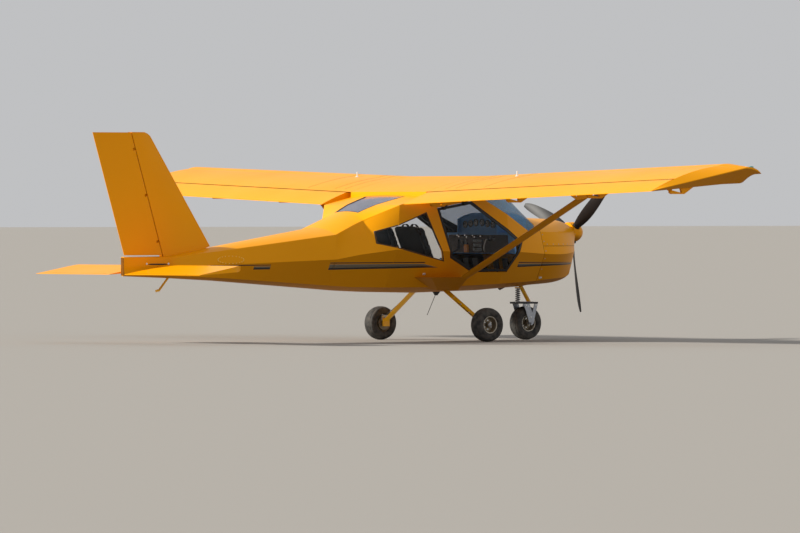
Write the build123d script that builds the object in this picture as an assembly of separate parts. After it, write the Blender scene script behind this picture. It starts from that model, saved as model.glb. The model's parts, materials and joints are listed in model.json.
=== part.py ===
from build123d import *
import math
import os

os.makedirs("parts", exist_ok=True)

# High-wing two-seat ultralight aircraft on a three-wheel gear, in millimetres.
# +X is forward, +Y is to port, +Z is up. Every station is measured from the main axle,
# on the ground under it, and each finished piece is moved by datum_shift at the end,
# so that the origin lies on the ground under the middle of the length and span.

# Whole aircraft
spinner_tip_x = 1969
rudder_tip_x = -4331
datum_shift = -(spinner_tip_x + rudder_tip_x) / 2
wing_tip_y = 4725
pin_clearance = 0.05
running_gap = 6

# Cabin and tail shell
firewall_x = 1060
cabin_rear_x = -1550
cabin_wall = 14
bulkhead_wall = 22
tail_wall = 6
roof_half_width = 645
pane_thickness = 5
pane_inset = 4
pane_gap = 0.3
side_near_y = 300
side_far_y = 1000

# Wing
root_chord = 1437
tip_chord = 1235
wing_root_y = 650
wing_rib_y = 4500
wing_skin = 5
root_te_x = -921
root_te_z = 1411
root_incidence = 5.0
tip_te_x = -722
tip_te_z = 1543
tip_incidence = 4.6
root_thickness = 0.131
tip_thickness = 0.152
tip_rake = 0.174
centre_rear_x = -585

# Flaperons, hinged below the wing
hinge_from_le = 1112
hinge_drop = 20
flaperon_skin = 4
flaperon_inner_y = 700
flaperon_outer_y = 4488
bracket_y = (740, 1950, 3200, 4440)
bracket_thickness = 8
hinge_pin_r = 4
pin_half = 20

# Struts
strut_foot = (-160, 745, 668)
strut_head = (250, 2400, 1575)
strut_overrun = 60
strut_chord = 130
strut_thickness = 46
cuff_thickness = 12
cuff_y = 2310
cuff_outline = (
    (-110, 1600),
    (-110, 1556),
    (-58, 1527),
    (60, 1460),
    (215, 1478),
    (300, 1600),
)
tie_down = (60, 1500)
tie_down_r = 8

# Doors and windows, in side view
door_outline = ((-430, 1378), (27, 1450), (726, 1022), (561, 714), (82, 714), (-256, 864))
door_gap = 6
door_frame_width = 25
door_hinge_out = 12
rear_window = ((-1117, 1020), (-1117, 1130), (-574, 1323), (-336, 840))
skylight_rear = (-1120, 190)
skylight_front = (-640, 318)

# Bump over each strut's foot: its four top and four low corners
fairing_top = ((-620, 480, 664), (-565, 700, 664), (-118, 752, 664), (-20, 480, 664))
fairing_low = ((-420, 400, 552), (-320, 496, 528), (-66, 500, 527), (-30, 400, 552))

# Cowl, split along its side seam, its front raked back below the spinner
cowl_wall = 8
cowl_split_z = 980
cowl_seam = 1
cowl_front = (
    (1765, 1240),
    (1757, 1100),
    (1706, 900),
    (1682, 700),
    (1662, 540),
)
shaft_hole_r = 62
inlet_y = 112
inlet_z = 1060
inlet_length = 80
inlet_width = 44
chin_low = (1640, -62, 735)
chin_high = (1800, 62, 785)
leg_slot_low = (1090, -62, 500)
leg_slot_high = (1215, 62, 700)

# Main gear
wheel_track = 1814
tyre_r = 175
tyre_width = 150
rim_r = 89
wheel_y = wheel_track / 2
main_leg_top = (-40, 270, 520)
main_leg_foot = (0, wheel_y - 100, 205)
main_leg_width = 86
main_leg_thickness = 28
leg_plate_inset = 107
leg_plate_thickness = 18
brake_disc_r = 72
brake_disc_inset = 66
brake_disc_thickness = 5
caliper_thickness = 17
axle_r = 12.5

# Nose gear
nose_axle_x = 1216
steer_rake = 12
steer_top = (1150, 0, 570)
steer_shaft_r = 16
fork_half_width = 92
fork_plate = 6
fork_top_z = 378
fork_outline = (
    (1118, fork_top_z),
    (1196, fork_top_z),
    (1232, 282),
    (1262, fork_top_z),
    (1304, fork_top_z),
    (1246, 165),
    (1222, 150),
    (1198, 165),
)
crown_rear_x = 1088
crown_front_x = 1306
crown_thickness = 16
tow_peg = 18
leg_low_x = 1268
leg_r = 20
shock_x = 1114
shock_top_z = 540
shock_r = 12
shock_cup_r = 24
shock_cup_height = 8

# Propeller
thrust_z = 1122
prop_x = 1835
prop_r = 850
prop_blades = 3
prop_first_angle = 189.5
spinner_r = 108
spinner_rear_x = 1775
spinner_wall = 4
spinner_flat = 4
prop_shaft_r = 24

# Engine, one closed block
engine_length = 500
engine_width = 480
engine_height = 306
engine_z = 947
gearbox_r = 74
gearbox_drop = 20
gearbox_front_x = 1715

# Cabin fittings
floor_z = 610
floor_top = floor_z + 10
hood_half_width = 335
hood_shoulder_z = 1262
hood_crown_z = 1328
hood_wall = 12
hood_rear_x = 575
hood_front_x = 960
shelf_z = 1120
shelf_thickness = 14
seat_inner_y = 40
seat_outer_y = 490
seat_outline = (
    (-330, floor_top),
    (100, floor_top),
    (130, 800),
    (60, 815),
    (-270, 775),
    (-470, 1190),
    (-560, 1180),
    (-400, 770),
)
stick_foot = (250, 0, floor_top)
stick_top = (215, 0, 900)
stick_r = 12
stick_arm_r = 9
grip_r = 15
grip_foot = (230, 130, 955)
grip_top = (238, 130, 1050)
pedal_y = (170, 330, -170, -330)
pedal_foot = (720, floor_top)
pedal_top = (700, 790)
pedal_pad = (14, 84, 110)

# Skid, aerial and exhaust
skid_top = (-3376, 0, 690)
skid_foot = (-3513, 0, 536)
skid_shoe_rear = (-3545, 0, 536)
skid_shoe_front = (-3500, 0, 546)
skid_r = 11
skid_shoe_r = 12
aerial_foot = (40, 0, 500)
aerial_tip = (-80, 0, 267)
aerial_r = 3
aerial_base_outline = ((95, 520), (-15, 520), (24, 470), (48, 470))
exhaust_inner = (1180, 150, 620)
exhaust_outer = (985, 150, 540)
exhaust_r = 24

# Tail
stab_half_span = 1421
stab_root_y = 132
stab_chord = 630
stab_thickness = 54
stab_pivot_x = -3560
stab_pivot_z = 764
stab_rest_angle = 7
stab_pivot_share = 0.25
stab_corner_r = 250
torque_tube_r = 18
fin_top_z = 2145
hinge_foot = (-3500, 875)
hinge_head = (-3899, 2146)
fin_nose_low = (-2862, 979)
fin_nose_high = (-3613, 2100)
fin_corner = (57, 45)
rudder_bottom_z = 899
fin_half_thickness = 36


def path_wire(start, steps):
    """Closed wire from start: a step is an end point, or an arc's middle and end points."""
    edges = []
    here = Vector(*start)
    for step in steps:
        if isinstance(step[0], tuple):
            there = Vector(*step[1])
            edges.append(Edge.make_three_point_arc(here, Vector(*step[0]), there))
        else:
            there = Vector(*step)
            edges.append(Edge.make_line(here, there))
        here = there
    return Wire(edges)


def prism_y(outline, y_from, y_to):
    """Solid over an outline of (x, z) corners, between two stations across the aircraft."""
    corners = [(x, y_from, z) for x, z in outline]
    face = Face(Wire.make_polygon([Vector(*c) for c in corners], close=True))
    return extrude(face, amount=y_to - y_from, dir=(0, 1, 0))


def box_between(low, high):
    """Box from its low corner to its high corner."""
    size = [high[i] - low[i] for i in range(3)]
    middle = [(high[i] + low[i]) / 2 for i in range(3)]
    return Pos(*middle) * Box(*size)


def rod(start, end, radius):
    """Round bar between two points."""
    a, b = Vector(*start), Vector(*end)
    plane = Plane(origin=a, z_dir=b - a)
    return Solid.make_cylinder(radius, (b - a).length, plane)


def tube(start, end, outer_r, inner_r):
    """Round tube between two points, its bore run past both ends."""
    a, b = Vector(*start), Vector(*end)
    run = (b - a).normalized()
    return rod(start, end, outer_r) - rod(tuple(a - run), tuple(b + run), inner_r)


def mirrored(shape):
    """The same piece on the other side of the aircraft."""
    return mirror(shape, about=Plane.XZ)


def inset_outline(outline, amount):
    """An (x, z) outline moved inwards by an amount on every side."""
    face = make_face(Polyline(*[(x, z) for x, z in outline], close=True))
    smaller = offset(face, amount=-amount, kind=Kind.INTERSECTION)
    corners = smaller.faces()[0].outer_wire().vertices()
    centre = smaller.faces()[0].center()
    ordered = sorted(corners, key=lambda v: math.atan2(v.Y - centre.Y, v.X - centre.X))
    return [(v.X, v.Y) for v in ordered]


# Fuselage sections. Columns: station, belly height, chine half width and height,
# waist half width and height, crease half width and height, crown height.
tail_sections = (
    (-3960, 688, 20, 696, 27, 780, 27, 880, 884),
    (-3450, 668, 82, 690, 108, 790, 104, 878, 888),
    (-2859, 638, 130, 668, 188, 800, 172, 940, 978),
    (-1550, 546, 250, 582, 392, 850, 380, 1104, 1176),
)
cabin_sections = (
    (-1550, 546, 250, 582, 392, 850, 380, 1104, 1176),
    (-1300, 528, 300, 566, 478, 900, 358, 1207, 1281),
    (-1180, 522, 332, 564, 520, 916, 347, 1250, 1325),
    (-930, 512, 400, 560, 604, 950, 645, 1408, 1412),
    (-300, 500, 470, 560, 648, 930, 606, 1560, 1600),
    (500, 520, 460, 590, 640, 930, 585, 1500, 1668),
    (1060, 556, 380, 618, 525, 900, 450, 1130, 1287),
)
cowl_sections = (
    (1060, 556, 380, 618, 525, 900, 450, 1130, 1287),
    (1400, 584, 326, 646, 462, 900, 372, 1126, 1266),
    (1640, 622, 178, 676, 286, 925, 236, 1104, 1240),
    (1765, 682, 80, 724, 122, 950, 150, 1058, 1196),
)


def body_section(row, inset=0.0):
    """One fuselage ring: curved belly, leaning sides, creased shoulders, domed deck."""
    x, belly, chine_w, chine_z, waist_w, waist_z, crease_w, crease_z, crown = row
    chine = (chine_w - inset, chine_z + inset)
    waist = (waist_w - inset, waist_z)
    crease = (crease_w - inset, crease_z - inset)
    steps = (
        ((x, 0, belly + inset), (x, chine[0], chine[1])),
        (x, waist[0], waist[1]),
        (x, crease[0], crease[1]),
        ((x, 0, crown - inset), (x, -crease[0], crease[1])),
        (x, -waist[0], waist[1]),
        (x, -chine[0], chine[1]),
    )
    return path_wire((x, -chine[0], chine[1]), steps)


def body_loft(rows, inset=0.0, ruled=True):
    """Solid through fuselage rings, all moved inwards by the same amount."""
    return Solid.make_loft([body_section(row, inset) for row in rows], ruled=ruled)


def slab_x(x_from, x_to, reach=3000):
    """Everything between two stations."""
    return box_between((x_from, -reach, -reach), (x_to, reach, reach))


# Wing sections
def airfoil_points(thickness, chord=root_chord):
    """Named points of the flat-bottomed wing section, aft and up from its lower front."""
    return {
        "nose": (0, 0.055 * chord),
        "upper_front": (0.085 * chord, 0.83 * thickness * chord),
        "crest": (0.30 * chord, thickness * chord),
        "upper_rear": (0.64 * chord, 0.735 * thickness * chord),
        "te_top": (chord, 0.004 * chord),
        "te_bottom": (chord, 0),
        "lower_front": (0.13 * chord, 0),
        "lower_nose": (0.03 * chord, 0.014 * chord),
    }


def rib_point(point, te_x, te_z, incidence, scale):
    """A root-sized section's (aft, up) point at a rib of that place, incidence and scale."""
    angle = math.radians(incidence)
    ahead = (root_chord - point[0]) * scale
    up = point[1] * scale
    x = te_x + ahead * math.cos(angle) - up * math.sin(angle)
    z = te_z + ahead * math.sin(angle) + up * math.cos(angle)
    return x, z


def wing_point(point, y):
    """A section's point on the straight line from the root rib's to the tip rib's."""
    share = (abs(y) - wing_root_y) / (wing_rib_y - wing_root_y)
    root = rib_point(point, root_te_x, root_te_z, root_incidence, 1)
    tip = rib_point(point, tip_te_x, tip_te_z, tip_incidence, tip_chord / root_chord)
    return (root[0] + (tip[0] - root[0]) * share, y, root[1] + (tip[1] - root[1]) * share)


def thickness_at(y):
    """Section thickness as a share of the chord, from root to tip."""
    share = (abs(y) - wing_root_y) / (wing_rib_y - wing_root_y)
    return root_thickness + (tip_thickness - root_thickness) * share


def arc_middle(centre, start, end):
    """Point half way along the shorter arc about a centre."""
    radius = math.dist(centre, start)
    bisector = ((start[0] + end[0]) / 2 - centre[0], (start[1] + end[1]) / 2 - centre[1])
    length = math.hypot(*bisector)
    return (centre[0] + radius * bisector[0] / length, centre[1] + radius * bisector[1] / length)


def upper_height(points, aft):
    """Height of the upper rear arc at a distance aft, from the circle through its points."""
    (x1, y1), (x2, y2), (x3, y3) = points["crest"], points["upper_rear"], points["te_top"]
    d = 2 * (x1 * (y2 - y3) + x2 * (y3 - y1) + x3 * (y1 - y2))
    s1, s2, s3 = x1 * x1 + y1 * y1, x2 * x2 + y2 * y2, x3 * x3 + y3 * y3
    cx = (s1 * (y2 - y3) + s2 * (y3 - y1) + s3 * (y1 - y2)) / d
    cy = (s1 * (x3 - x2) + s2 * (x1 - x3) + s3 * (x2 - x1)) / d
    radius = math.dist((cx, cy), (x1, y1))
    return cy + math.sqrt(radius * radius - (aft - cx) ** 2)


def nose_radius(y):
    """Radius of the flaperon's nose about its hinge line."""
    return upper_height(airfoil_points(thickness_at(y)), hinge_from_le) + hinge_drop


def full_section(y):
    """Whole wing section with its trailing edge."""
    p = airfoil_points(thickness_at(y))

    def at(name):
        return wing_point(p[name], y)

    return path_wire(at("nose"), (
        (at("upper_front"), at("crest")),
        (at("upper_rear"), at("te_top")),
        at("te_bottom"),
        at("lower_front"),
        (at("lower_nose"), at("nose")),
    ))


def fixed_section(y, skin=0.0):
    """Wing section ahead of the flaperon, its rear hollowed round the flaperon's nose."""
    p = airfoil_points(thickness_at(y))
    hinge = (hinge_from_le, -hinge_drop)
    radius = nose_radius(y) + running_gap + skin
    low_aft = hinge_from_le - math.sqrt(radius ** 2 - (hinge_drop + skin) ** 2)
    ahead, behind = hinge_from_le - 200, hinge_from_le
    while behind - ahead > 0.001:
        top_aft = (ahead + behind) / 2
        if math.dist((top_aft, upper_height(p, top_aft) - skin), hinge) > radius:
            ahead = top_aft
        else:
            behind = top_aft
    top = (top_aft, upper_height(p, top_aft) - skin)
    low = (low_aft, skin)
    middle_aft = (p["crest"][0] + top_aft) / 2
    points = {
        "nose": (p["nose"][0] + skin, p["nose"][1]),
        "front": (p["upper_front"][0] + 0.6 * skin, p["upper_front"][1] - skin),
        "crest": (p["crest"][0], p["crest"][1] - skin),
        "rear": (middle_aft, upper_height(p, middle_aft) - skin),
        "top": top,
        "hollow": arc_middle(hinge, top, low),
        "low": low,
        "lower_front": (p["lower_front"][0], skin),
        "lower_nose": (p["lower_nose"][0] + 0.7 * skin, p["lower_nose"][1] + 0.7 * skin),
    }
    at = {name: wing_point(point, y) for name, point in points.items()}
    return path_wire(at["nose"], (
        (at["front"], at["crest"]),
        (at["rear"], at["top"]),
        (at["hollow"], at["low"]),
        at["lower_front"],
        (at["lower_nose"], at["nose"]),
    ))


def flaperon_section(y):
    """Flaperon section: round nose about the hinge line, then the wing's own trailing edge."""
    p = airfoil_points(thickness_at(y))
    hinge = (hinge_from_le, -hinge_drop)
    radius = nose_radius(y)
    top = (hinge_from_le, upper_height(p, hinge_from_le))
    low = (hinge_from_le - math.sqrt(radius ** 2 - hinge_drop ** 2), 0)
    rear_aft = (hinge_from_le + root_chord) / 2
    points = {
        "top": top,
        "rear": (rear_aft, upper_height(p, rear_aft)),
        "te_top": p["te_top"],
        "te_bottom": p["te_bottom"],
        "low": low,
        "nose": arc_middle(hinge, top, low),
    }
    at = {name: wing_point(point, y) for name, point in points.items()}
    return path_wire(at["top"], (
        (at["rear"], at["te_top"]),
        at["te_bottom"],
        at["low"],
        (at["nose"], at["top"]),
    ))


def hinge_point(y):
    """Point of the flaperon's hinge line."""
    return wing_point((hinge_from_le, -hinge_drop), y)


def hinge_bar(y, half, radius):
    """Round bar along the hinge line, centred at a bracket."""
    return rod(hinge_point(y - half), hinge_point(y + half), radius)


def flaperon_hollow(y):
    """Hollow of the flaperon: a tapered quadrilateral inside its skin."""
    p = airfoil_points(thickness_at(y))
    aft_end = root_chord - 60
    skin = flaperon_skin
    corners = (
        (hinge_from_le - 30, skin),
        (hinge_from_le + 10, upper_height(p, hinge_from_le + 10) - skin - 1),
        (aft_end, upper_height(p, aft_end) - skin),
        (aft_end, skin),
    )
    points = [wing_point(corner, y) for corner in corners]
    return Wire.make_polygon([Vector(*point) for point in points], close=True)


def wing_panel():
    """Hollow port wing from its root rib to its tip rib."""
    outer = Solid.make_loft([fixed_section(wing_root_y), fixed_section(wing_rib_y)], ruled=True)
    inner_y = (wing_root_y + wing_skin, wing_rib_y - wing_skin)
    inner = Solid.make_loft([fixed_section(y, wing_skin) for y in inner_y], ruled=True)
    return outer - inner


def wing_tip():
    """Port tip cap: both skins run out to a thin edge that is raked back in plan."""
    edge = {
        "nose": (8, 84),
        "front": (74, 146),
        "shoulder": (204, 172),
        "te_top": (1422, 9),
        "te_bottom": (1422, 3),
        "lower_shoulder": (216, 160),
        "lower_front": (84, 132),
    }
    nose_x = wing_point(edge["nose"], wing_tip_y)[0]
    at = {}
    for name, point in edge.items():
        x, _, z = wing_point(point, wing_tip_y)
        at[name] = (x, wing_tip_y - (nose_x - x) * tip_rake, z)
    end = path_wire(at["nose"], (
        (at["front"], at["shoulder"]),
        at["te_top"],
        at["te_bottom"],
        at["lower_shoulder"],
        (at["lower_front"], at["nose"]),
    ))
    return Solid.make_loft([full_section(wing_rib_y), end], ruled=True)


def flaperon():
    """Port flaperon with a horn down to each hinge pin."""
    blade = Solid.make_loft(
        [flaperon_section(flaperon_inner_y), flaperon_section(flaperon_outer_y)], ruled=True)
    ends = (flaperon_inner_y + flaperon_skin, flaperon_outer_y - flaperon_skin)
    blade = blade - Solid.make_loft([flaperon_hollow(y) for y in ends], ruled=True)
    for y in bracket_y:
        x, _, z = hinge_point(y)
        half = bracket_thickness / 2
        root_z = z + hinge_drop + flaperon_skin / 2
        horn = [(x - 52, root_z - 2), (x - 8, z - 10), (x + 8, z - 10), (x + 26, root_z)]
        plate = prism_y(horn, y - half, y + half)
        blade = blade + plate + hinge_bar(y, pin_half, hinge_pin_r)
    return blade


wing_solid = Solid.make_loft([fixed_section(wing_root_y), fixed_section(wing_rib_y)], ruled=True)


def flaperon_bracket(y):
    """One swan-necked hinge bracket under the wing: two ears with a bore for the pin."""
    x, _, z = hinge_point(y)
    reach = nose_radius(y) + 2 * running_gap
    foot = wing_point((hinge_from_le - 2.3 * reach, 0), y)
    rear = wing_point((hinge_from_le - reach, 0), y)
    inner = bracket_thickness / 2 + 3
    outer = inner + 6
    outline = [
        (foot[0], foot[2]),
        (rear[0], rear[2]),
        (x + reach - 6, z - 18),
        (x + 12, z + 8),
        (x - 8, z + 8),
        (x - 14, z - 2),
        (x - 14, z - 16),
        (x + 10, z - 30),
        (x + reach + 24, z - 30),
    ]
    solid = prism_y(outline, y - outer, y + outer)
    solid = solid - box_between((x - 60, y - inner, z - 60), (x + 60, y + inner, z + 60))
    return solid - wing_solid - hinge_bar(y, 2 * pin_half, hinge_pin_r + pin_clearance)


# Struts
def lens_bar(start, end, chord, thickness, chord_dir=(1, 0, 0)):
    """Streamlined bar: a lens section carried between two points."""
    a, b = Vector(*start), Vector(*end)
    plane = Plane(origin=a, x_dir=Vector(*chord_dir), z_dir=b - a)
    half, bulge = chord / 2, thickness / 2
    with BuildSketch(plane) as section:
        with BuildLine():
            ThreePointArc((-half, 0), (0, bulge), (half, 0))
            ThreePointArc((half, 0), (0, -bulge), (-half, 0))
        make_face()
    return extrude(section.sketch, amount=(b - a).length)


def perpendicular_dir(start, end):
    """Forward direction square to a bar's run."""
    run = (Vector(*end) - Vector(*start)).normalized()
    forward = Vector(1, 0, 0)
    return tuple(forward - run * forward.dot(run))


# Cabin shell
outer_hull = body_loft(cabin_sections)
inner_hull = body_loft(cabin_sections, cabin_wall) & slab_x(
    cabin_rear_x + bulkhead_wall, firewall_x - bulkhead_wall)
pane_hull = body_loft(cabin_sections, pane_inset) - body_loft(cabin_sections, pane_inset + pane_thickness)

centre_points = airfoil_points(root_thickness)


def roof_prism():
    """The wing's centre section between the roots, ahead of the rear deck."""
    at = {}
    for name, point in centre_points.items():
        x, _, z = wing_point(point, wing_root_y)
        at[name] = (x, -roof_half_width, z)
    wire = path_wire(at["nose"], (
        (at["upper_front"], at["crest"]),
        (at["upper_rear"], at["te_top"]),
        at["te_bottom"],
        at["lower_front"],
        (at["lower_nose"], at["nose"]),
    ))
    whole = extrude(Face(wire), amount=2 * roof_half_width, dir=(0, 1, 0))
    return whole & slab_x(centre_rear_x, firewall_x)


def roof_hollow():
    """Space between the skins of the centre section."""
    front_aft, front_up = centre_points["upper_front"]
    corners = [(front_aft - 50, 4 * wing_skin), (front_aft, front_up - 8 * wing_skin)]
    for share in (0.3, 0.56, 0.73):
        aft = share * root_chord
        corners.append((aft, upper_height(centre_points, aft) - wing_skin))
    corners += [(corners[-1][0], wing_skin), (front_aft + 80, wing_skin)]
    outline = []
    for corner in corners:
        x, _, z = wing_point(corner, wing_root_y)
        outline.append((x, z))
    side = roof_half_width - wing_skin
    return prism_y(outline, -side, side)


roof_envelope = roof_prism()
roof = roof_envelope - roof_hollow()
roof_line_rear = (centre_rear_x, root_te_z + 38)
roof_line_front = (1000, 1556)
sky_z = 2000
above_roof = prism_y(
    [roof_line_rear, roof_line_front, (roof_line_front[0], sky_z), (centre_rear_x, sky_z)],
    -roof_half_width - 200, roof_half_width + 200)

# Windshield, in side view: from the wing's nose down to the cowl
windshield_rear_x = 120
windshield_outline = (
    (windshield_rear_x, 1508),
    (876, 1120),
    (firewall_x + 40, 1306),
    (firewall_x + 40, sky_z),
    (windshield_rear_x, sky_z),
)


def both_sides(outline):
    """Prisms over an outline on both sides of the cabin."""
    port = prism_y(outline, side_near_y, side_far_y)
    return port + mirrored(port)


def skylight_prism(inset=0.0):
    """Tapered prism over the roof window, from above."""
    (rear_x, rear_w), (front_x, front_w) = skylight_rear, skylight_front
    corners = [
        (rear_x + inset, -rear_w + inset, 1200), (front_x - inset, -front_w + inset, 1200),
        (front_x - inset, front_w - inset, 1200), (rear_x + inset, rear_w - inset, 1200)]
    face = Face(Wire.make_polygon([Vector(*c) for c in corners], close=True))
    return extrude(face, amount=600, dir=(0, 0, 1))


door_prisms = both_sides(door_outline)
window_prisms = both_sides(rear_window)
windshield_prism = prism_y(windshield_outline, -800, 800)

cabin_shell = outer_hull - inner_hull
cabin_shell = cabin_shell - roof_envelope - above_roof
for cutter in (door_prisms, window_prisms, windshield_prism, skylight_prism()):
    cabin_shell = cabin_shell - cutter

windshield = (pane_hull & windshield_prism) - above_roof - roof_envelope
quarter_windows = pane_hull & both_sides(inset_outline(rear_window, pane_gap))
skylight = pane_hull & skylight_prism(pane_gap)

# The shell is laid out as panels that meet along the hull's own crease lines
flat_low = [(row[0], 300) for row in cabin_sections]
flat_high = [(row[0], sky_z) for row in cabin_sections]
crease_lines = [[(row[0], row[column]) for row in cabin_sections] for column in (3, 5, 7)]
panel_levels = [flat_low] + crease_lines + [flat_high]
panel_stations = (cabin_rear_x + bulkhead_wall, -930, 500, firewall_x - bulkhead_wall)


def shell_panels(shell):
    """End walls, then belly, side and deck panels between the panel stations."""
    pieces = [
        shell & slab_x(cabin_rear_x, panel_stations[0]),
        shell & slab_x(panel_stations[-1], firewall_x),
    ]
    for x_from, x_to in zip(panel_stations, panel_stations[1:]):
        block = shell & slab_x(x_from, x_to)
        for low, high in zip(panel_levels, panel_levels[1:]):
            pieces.append(block & prism_y(low + high[::-1], -1000, 1000))
    return pieces


def fairing():
    """Port bump that carries the strut's foot."""
    rings = []
    for corners in (fairing_low, fairing_top):
        rings.append(Wire.make_polygon([Vector(*c) for c in corners], close=True))
    return Solid.make_loft(rings, ruled=True)


port_fairing = fairing() - outer_hull
strut_fairings = [port_fairing, mirrored(port_fairing)]

# Floor
wall_x = firewall_x - bulkhead_wall
cabin_floor = inner_hull & box_between((-560, -700, floor_z), (wall_x, 700, floor_top))

# Tail cone
tail_outer = body_loft(tail_sections)
tail_inner = body_loft(tail_sections, tail_wall) & slab_x(-3900, cabin_rear_x - 10)
tail_cone = tail_outer - tail_inner


# Cowl
def cowl_body(inset, rear_x):
    """The cowl's solid shape, moved inwards by an amount on its sides and front."""
    front = [(x - inset, z) for x, z in cowl_front]
    top_z = front[0][1] + 100
    side_view = front + [(rear_x, front[-1][1]), (rear_x, top_z), (front[0][0], top_z)]
    return body_loft(cowl_sections, inset, ruled=False) & prism_y(side_view, -700, 700)


cowl_outer = cowl_body(0, firewall_x)
cowl = cowl_outer - cowl_body(cowl_wall, firewall_x - 1)
cowl = cowl - rod((1700, 0, thrust_z), (1800, 0, thrust_z), shaft_hole_r)
inlet = extrude(SlotOverall(inlet_length, inlet_width, rotation=90), amount=90, both=True)
for side in (1, -1):
    cowl = cowl - Pos(1740, side * inlet_y, inlet_z) * Rot(0, 90, 0) * inlet
cowl = cowl - box_between(chin_low, chin_high)
cowl = cowl - box_between(leg_slot_low, leg_slot_high)
cowl_upper = cowl & box_between((1000, -800, cowl_split_z + cowl_seam / 2), (1900, 800, 1500))
cowl_lower = cowl & box_between((1000, -800, 300), (1900, 800, cowl_split_z - cowl_seam / 2))

# Engine with its gearbox nose
engine_front_x = firewall_x + engine_length
gearbox_z = thrust_z - gearbox_drop
engine = box_between(
    (firewall_x, -engine_width / 2, engine_z - engine_height / 2),
    (engine_front_x, engine_width / 2, engine_z + engine_height / 2))
gearbox = rod((engine_front_x - 5, 0, gearbox_z), (gearbox_front_x, 0, gearbox_z), gearbox_r)
engine_block = engine + gearbox
engine_block = engine_block - rod((1600, 0, thrust_z), (1740, 0, thrust_z), prop_shaft_r + pin_clearance)

# Propeller, spinner
def blade_section(radius, chord, thickness, pitch, sweep):
    """Lens section of one blade, square to the blade's axis, turned to its pitch."""
    half, bulge = chord / 2, thickness / 2
    angle = math.radians(pitch)

    def at(along, through):
        y = along * math.cos(angle) + through * math.sin(angle) + sweep
        x = through * math.cos(angle) - along * math.sin(angle)
        return (prop_x + x, y, thrust_z + radius)

    return path_wire(at(-half, 0), ((at(0, bulge), at(half, 0)), (at(0, -bulge), at(-half, 0))))


# Columns: radius, chord, thickness, pitch, sweep
blade_table = (
    (60, 54, 36, 52, 0),
    (180, 98, 24, 42, -4),
    (340, 124, 16, 33, -8),
    (560, 114, 12, 24, -6),
    (760, 82, 8, 18, 2),
    (prop_r, 38, 5, 15, 12),
)


def propeller_blade():
    """One blade standing up from the hub."""
    return Solid.make_loft([blade_section(*row) for row in blade_table], ruled=False)


hub = rod((prop_x - 48, 0, thrust_z), (prop_x + 42, 0, thrust_z), 66)
shaft = rod((1640, 0, thrust_z), (prop_x - 40, 0, thrust_z), prop_shaft_r)
hub_seat = rod((spinner_rear_x + spinner_wall, 0, thrust_z), (prop_x - 48, 0, thrust_z), 58)
propeller = hub + shaft + hub_seat
blade = propeller_blade()
root_sleeve = rod((prop_x, 0, thrust_z), (prop_x, 0, thrust_z + 118), 33)
sleeve_cut = rod((prop_x, 0, thrust_z), (prop_x, 0, thrust_z + 200), 42)
hub_axis = Axis((0, 0, thrust_z), (1, 0, 0))
blade_angles = [prop_first_angle + 360 / prop_blades * i for i in range(prop_blades)]
for angle in blade_angles:
    propeller = propeller + (blade + root_sleeve).rotate(hub_axis, -angle)

spinner_front_x = prop_x + 46
spinner_plate_x = spinner_rear_x + spinner_wall
spinner_shoulder = (prop_x + 8, thrust_z + spinner_r)
spinner_cheek = (1922, thrust_z + 74)
spinner_tip = (spinner_tip_x, thrust_z + spinner_flat)
with BuildSketch(Plane.XZ) as spinner_profile:
    with BuildLine():
        Polyline(
            spinner_tip,
            (spinner_tip_x, thrust_z),
            (spinner_front_x, thrust_z),
            (spinner_front_x, thrust_z + 70),
            (spinner_plate_x, thrust_z + 70),
            (spinner_plate_x, thrust_z + 40),
            (spinner_rear_x, thrust_z + 40),
            (spinner_rear_x, thrust_z + spinner_r - 4),
            spinner_shoulder)
        ThreePointArc(spinner_shoulder, spinner_cheek, spinner_tip)
    make_face()
spinner = revolve(spinner_profile.sketch, axis=hub_axis)
for angle in blade_angles:
    spinner = spinner - sleeve_cut.rotate(hub_axis, -angle)


# Wheels
def tyre_solid(x, y):
    """Balloon tyre about its axle, flat in the tread and round at its shoulders."""
    half = tyre_width / 2
    with BuildSketch(Plane.YZ.offset(x)) as profile:
        with BuildLine():
            Line((y - 52, tyre_r + rim_r), (y + 52, tyre_r + rim_r))
            ThreePointArc((y + 52, tyre_r + rim_r), (y + half, tyre_r + 128), (y + 46, tyre_r + 168))
            ThreePointArc((y + 46, tyre_r + 168), (y, tyre_r + tyre_r), (y - 46, tyre_r + 168))
            ThreePointArc((y - 46, tyre_r + 168), (y - half, tyre_r + 128), (y - 52, tyre_r + rim_r))
        make_face()
    return revolve(profile.sketch, axis=Axis((x, 0, tyre_r), (0, 1, 0)))


def rim_solid(x, y, hub_half, bore_r):
    """Dished wheel: rolled rim, web and hub, with a bore for the axle."""
    with BuildSketch(Plane.YZ.offset(x)) as profile:
        with BuildLine():
            Polyline(
                (y - hub_half, tyre_r + bore_r), (y + hub_half, tyre_r + bore_r),
                (y + hub_half, tyre_r + 26), (y + 8, tyre_r + 30), (y + 8, tyre_r + 66),
                (y + 50, tyre_r + 78), (y + 58, tyre_r + rim_r + 6), (y + 52, tyre_r + rim_r + 6),
                (y + 52, tyre_r + rim_r), (y - 52, tyre_r + rim_r), (y - 52, tyre_r + rim_r + 6),
                (y - 58, tyre_r + rim_r + 6), (y - 50, tyre_r + 78), (y - 8, tyre_r + 66),
                (y - 8, tyre_r + 30), (y - hub_half, tyre_r + 26), close=True)
        make_face()
    return revolve(profile.sketch, axis=Axis((x, 0, tyre_r), (0, 1, 0)))


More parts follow.
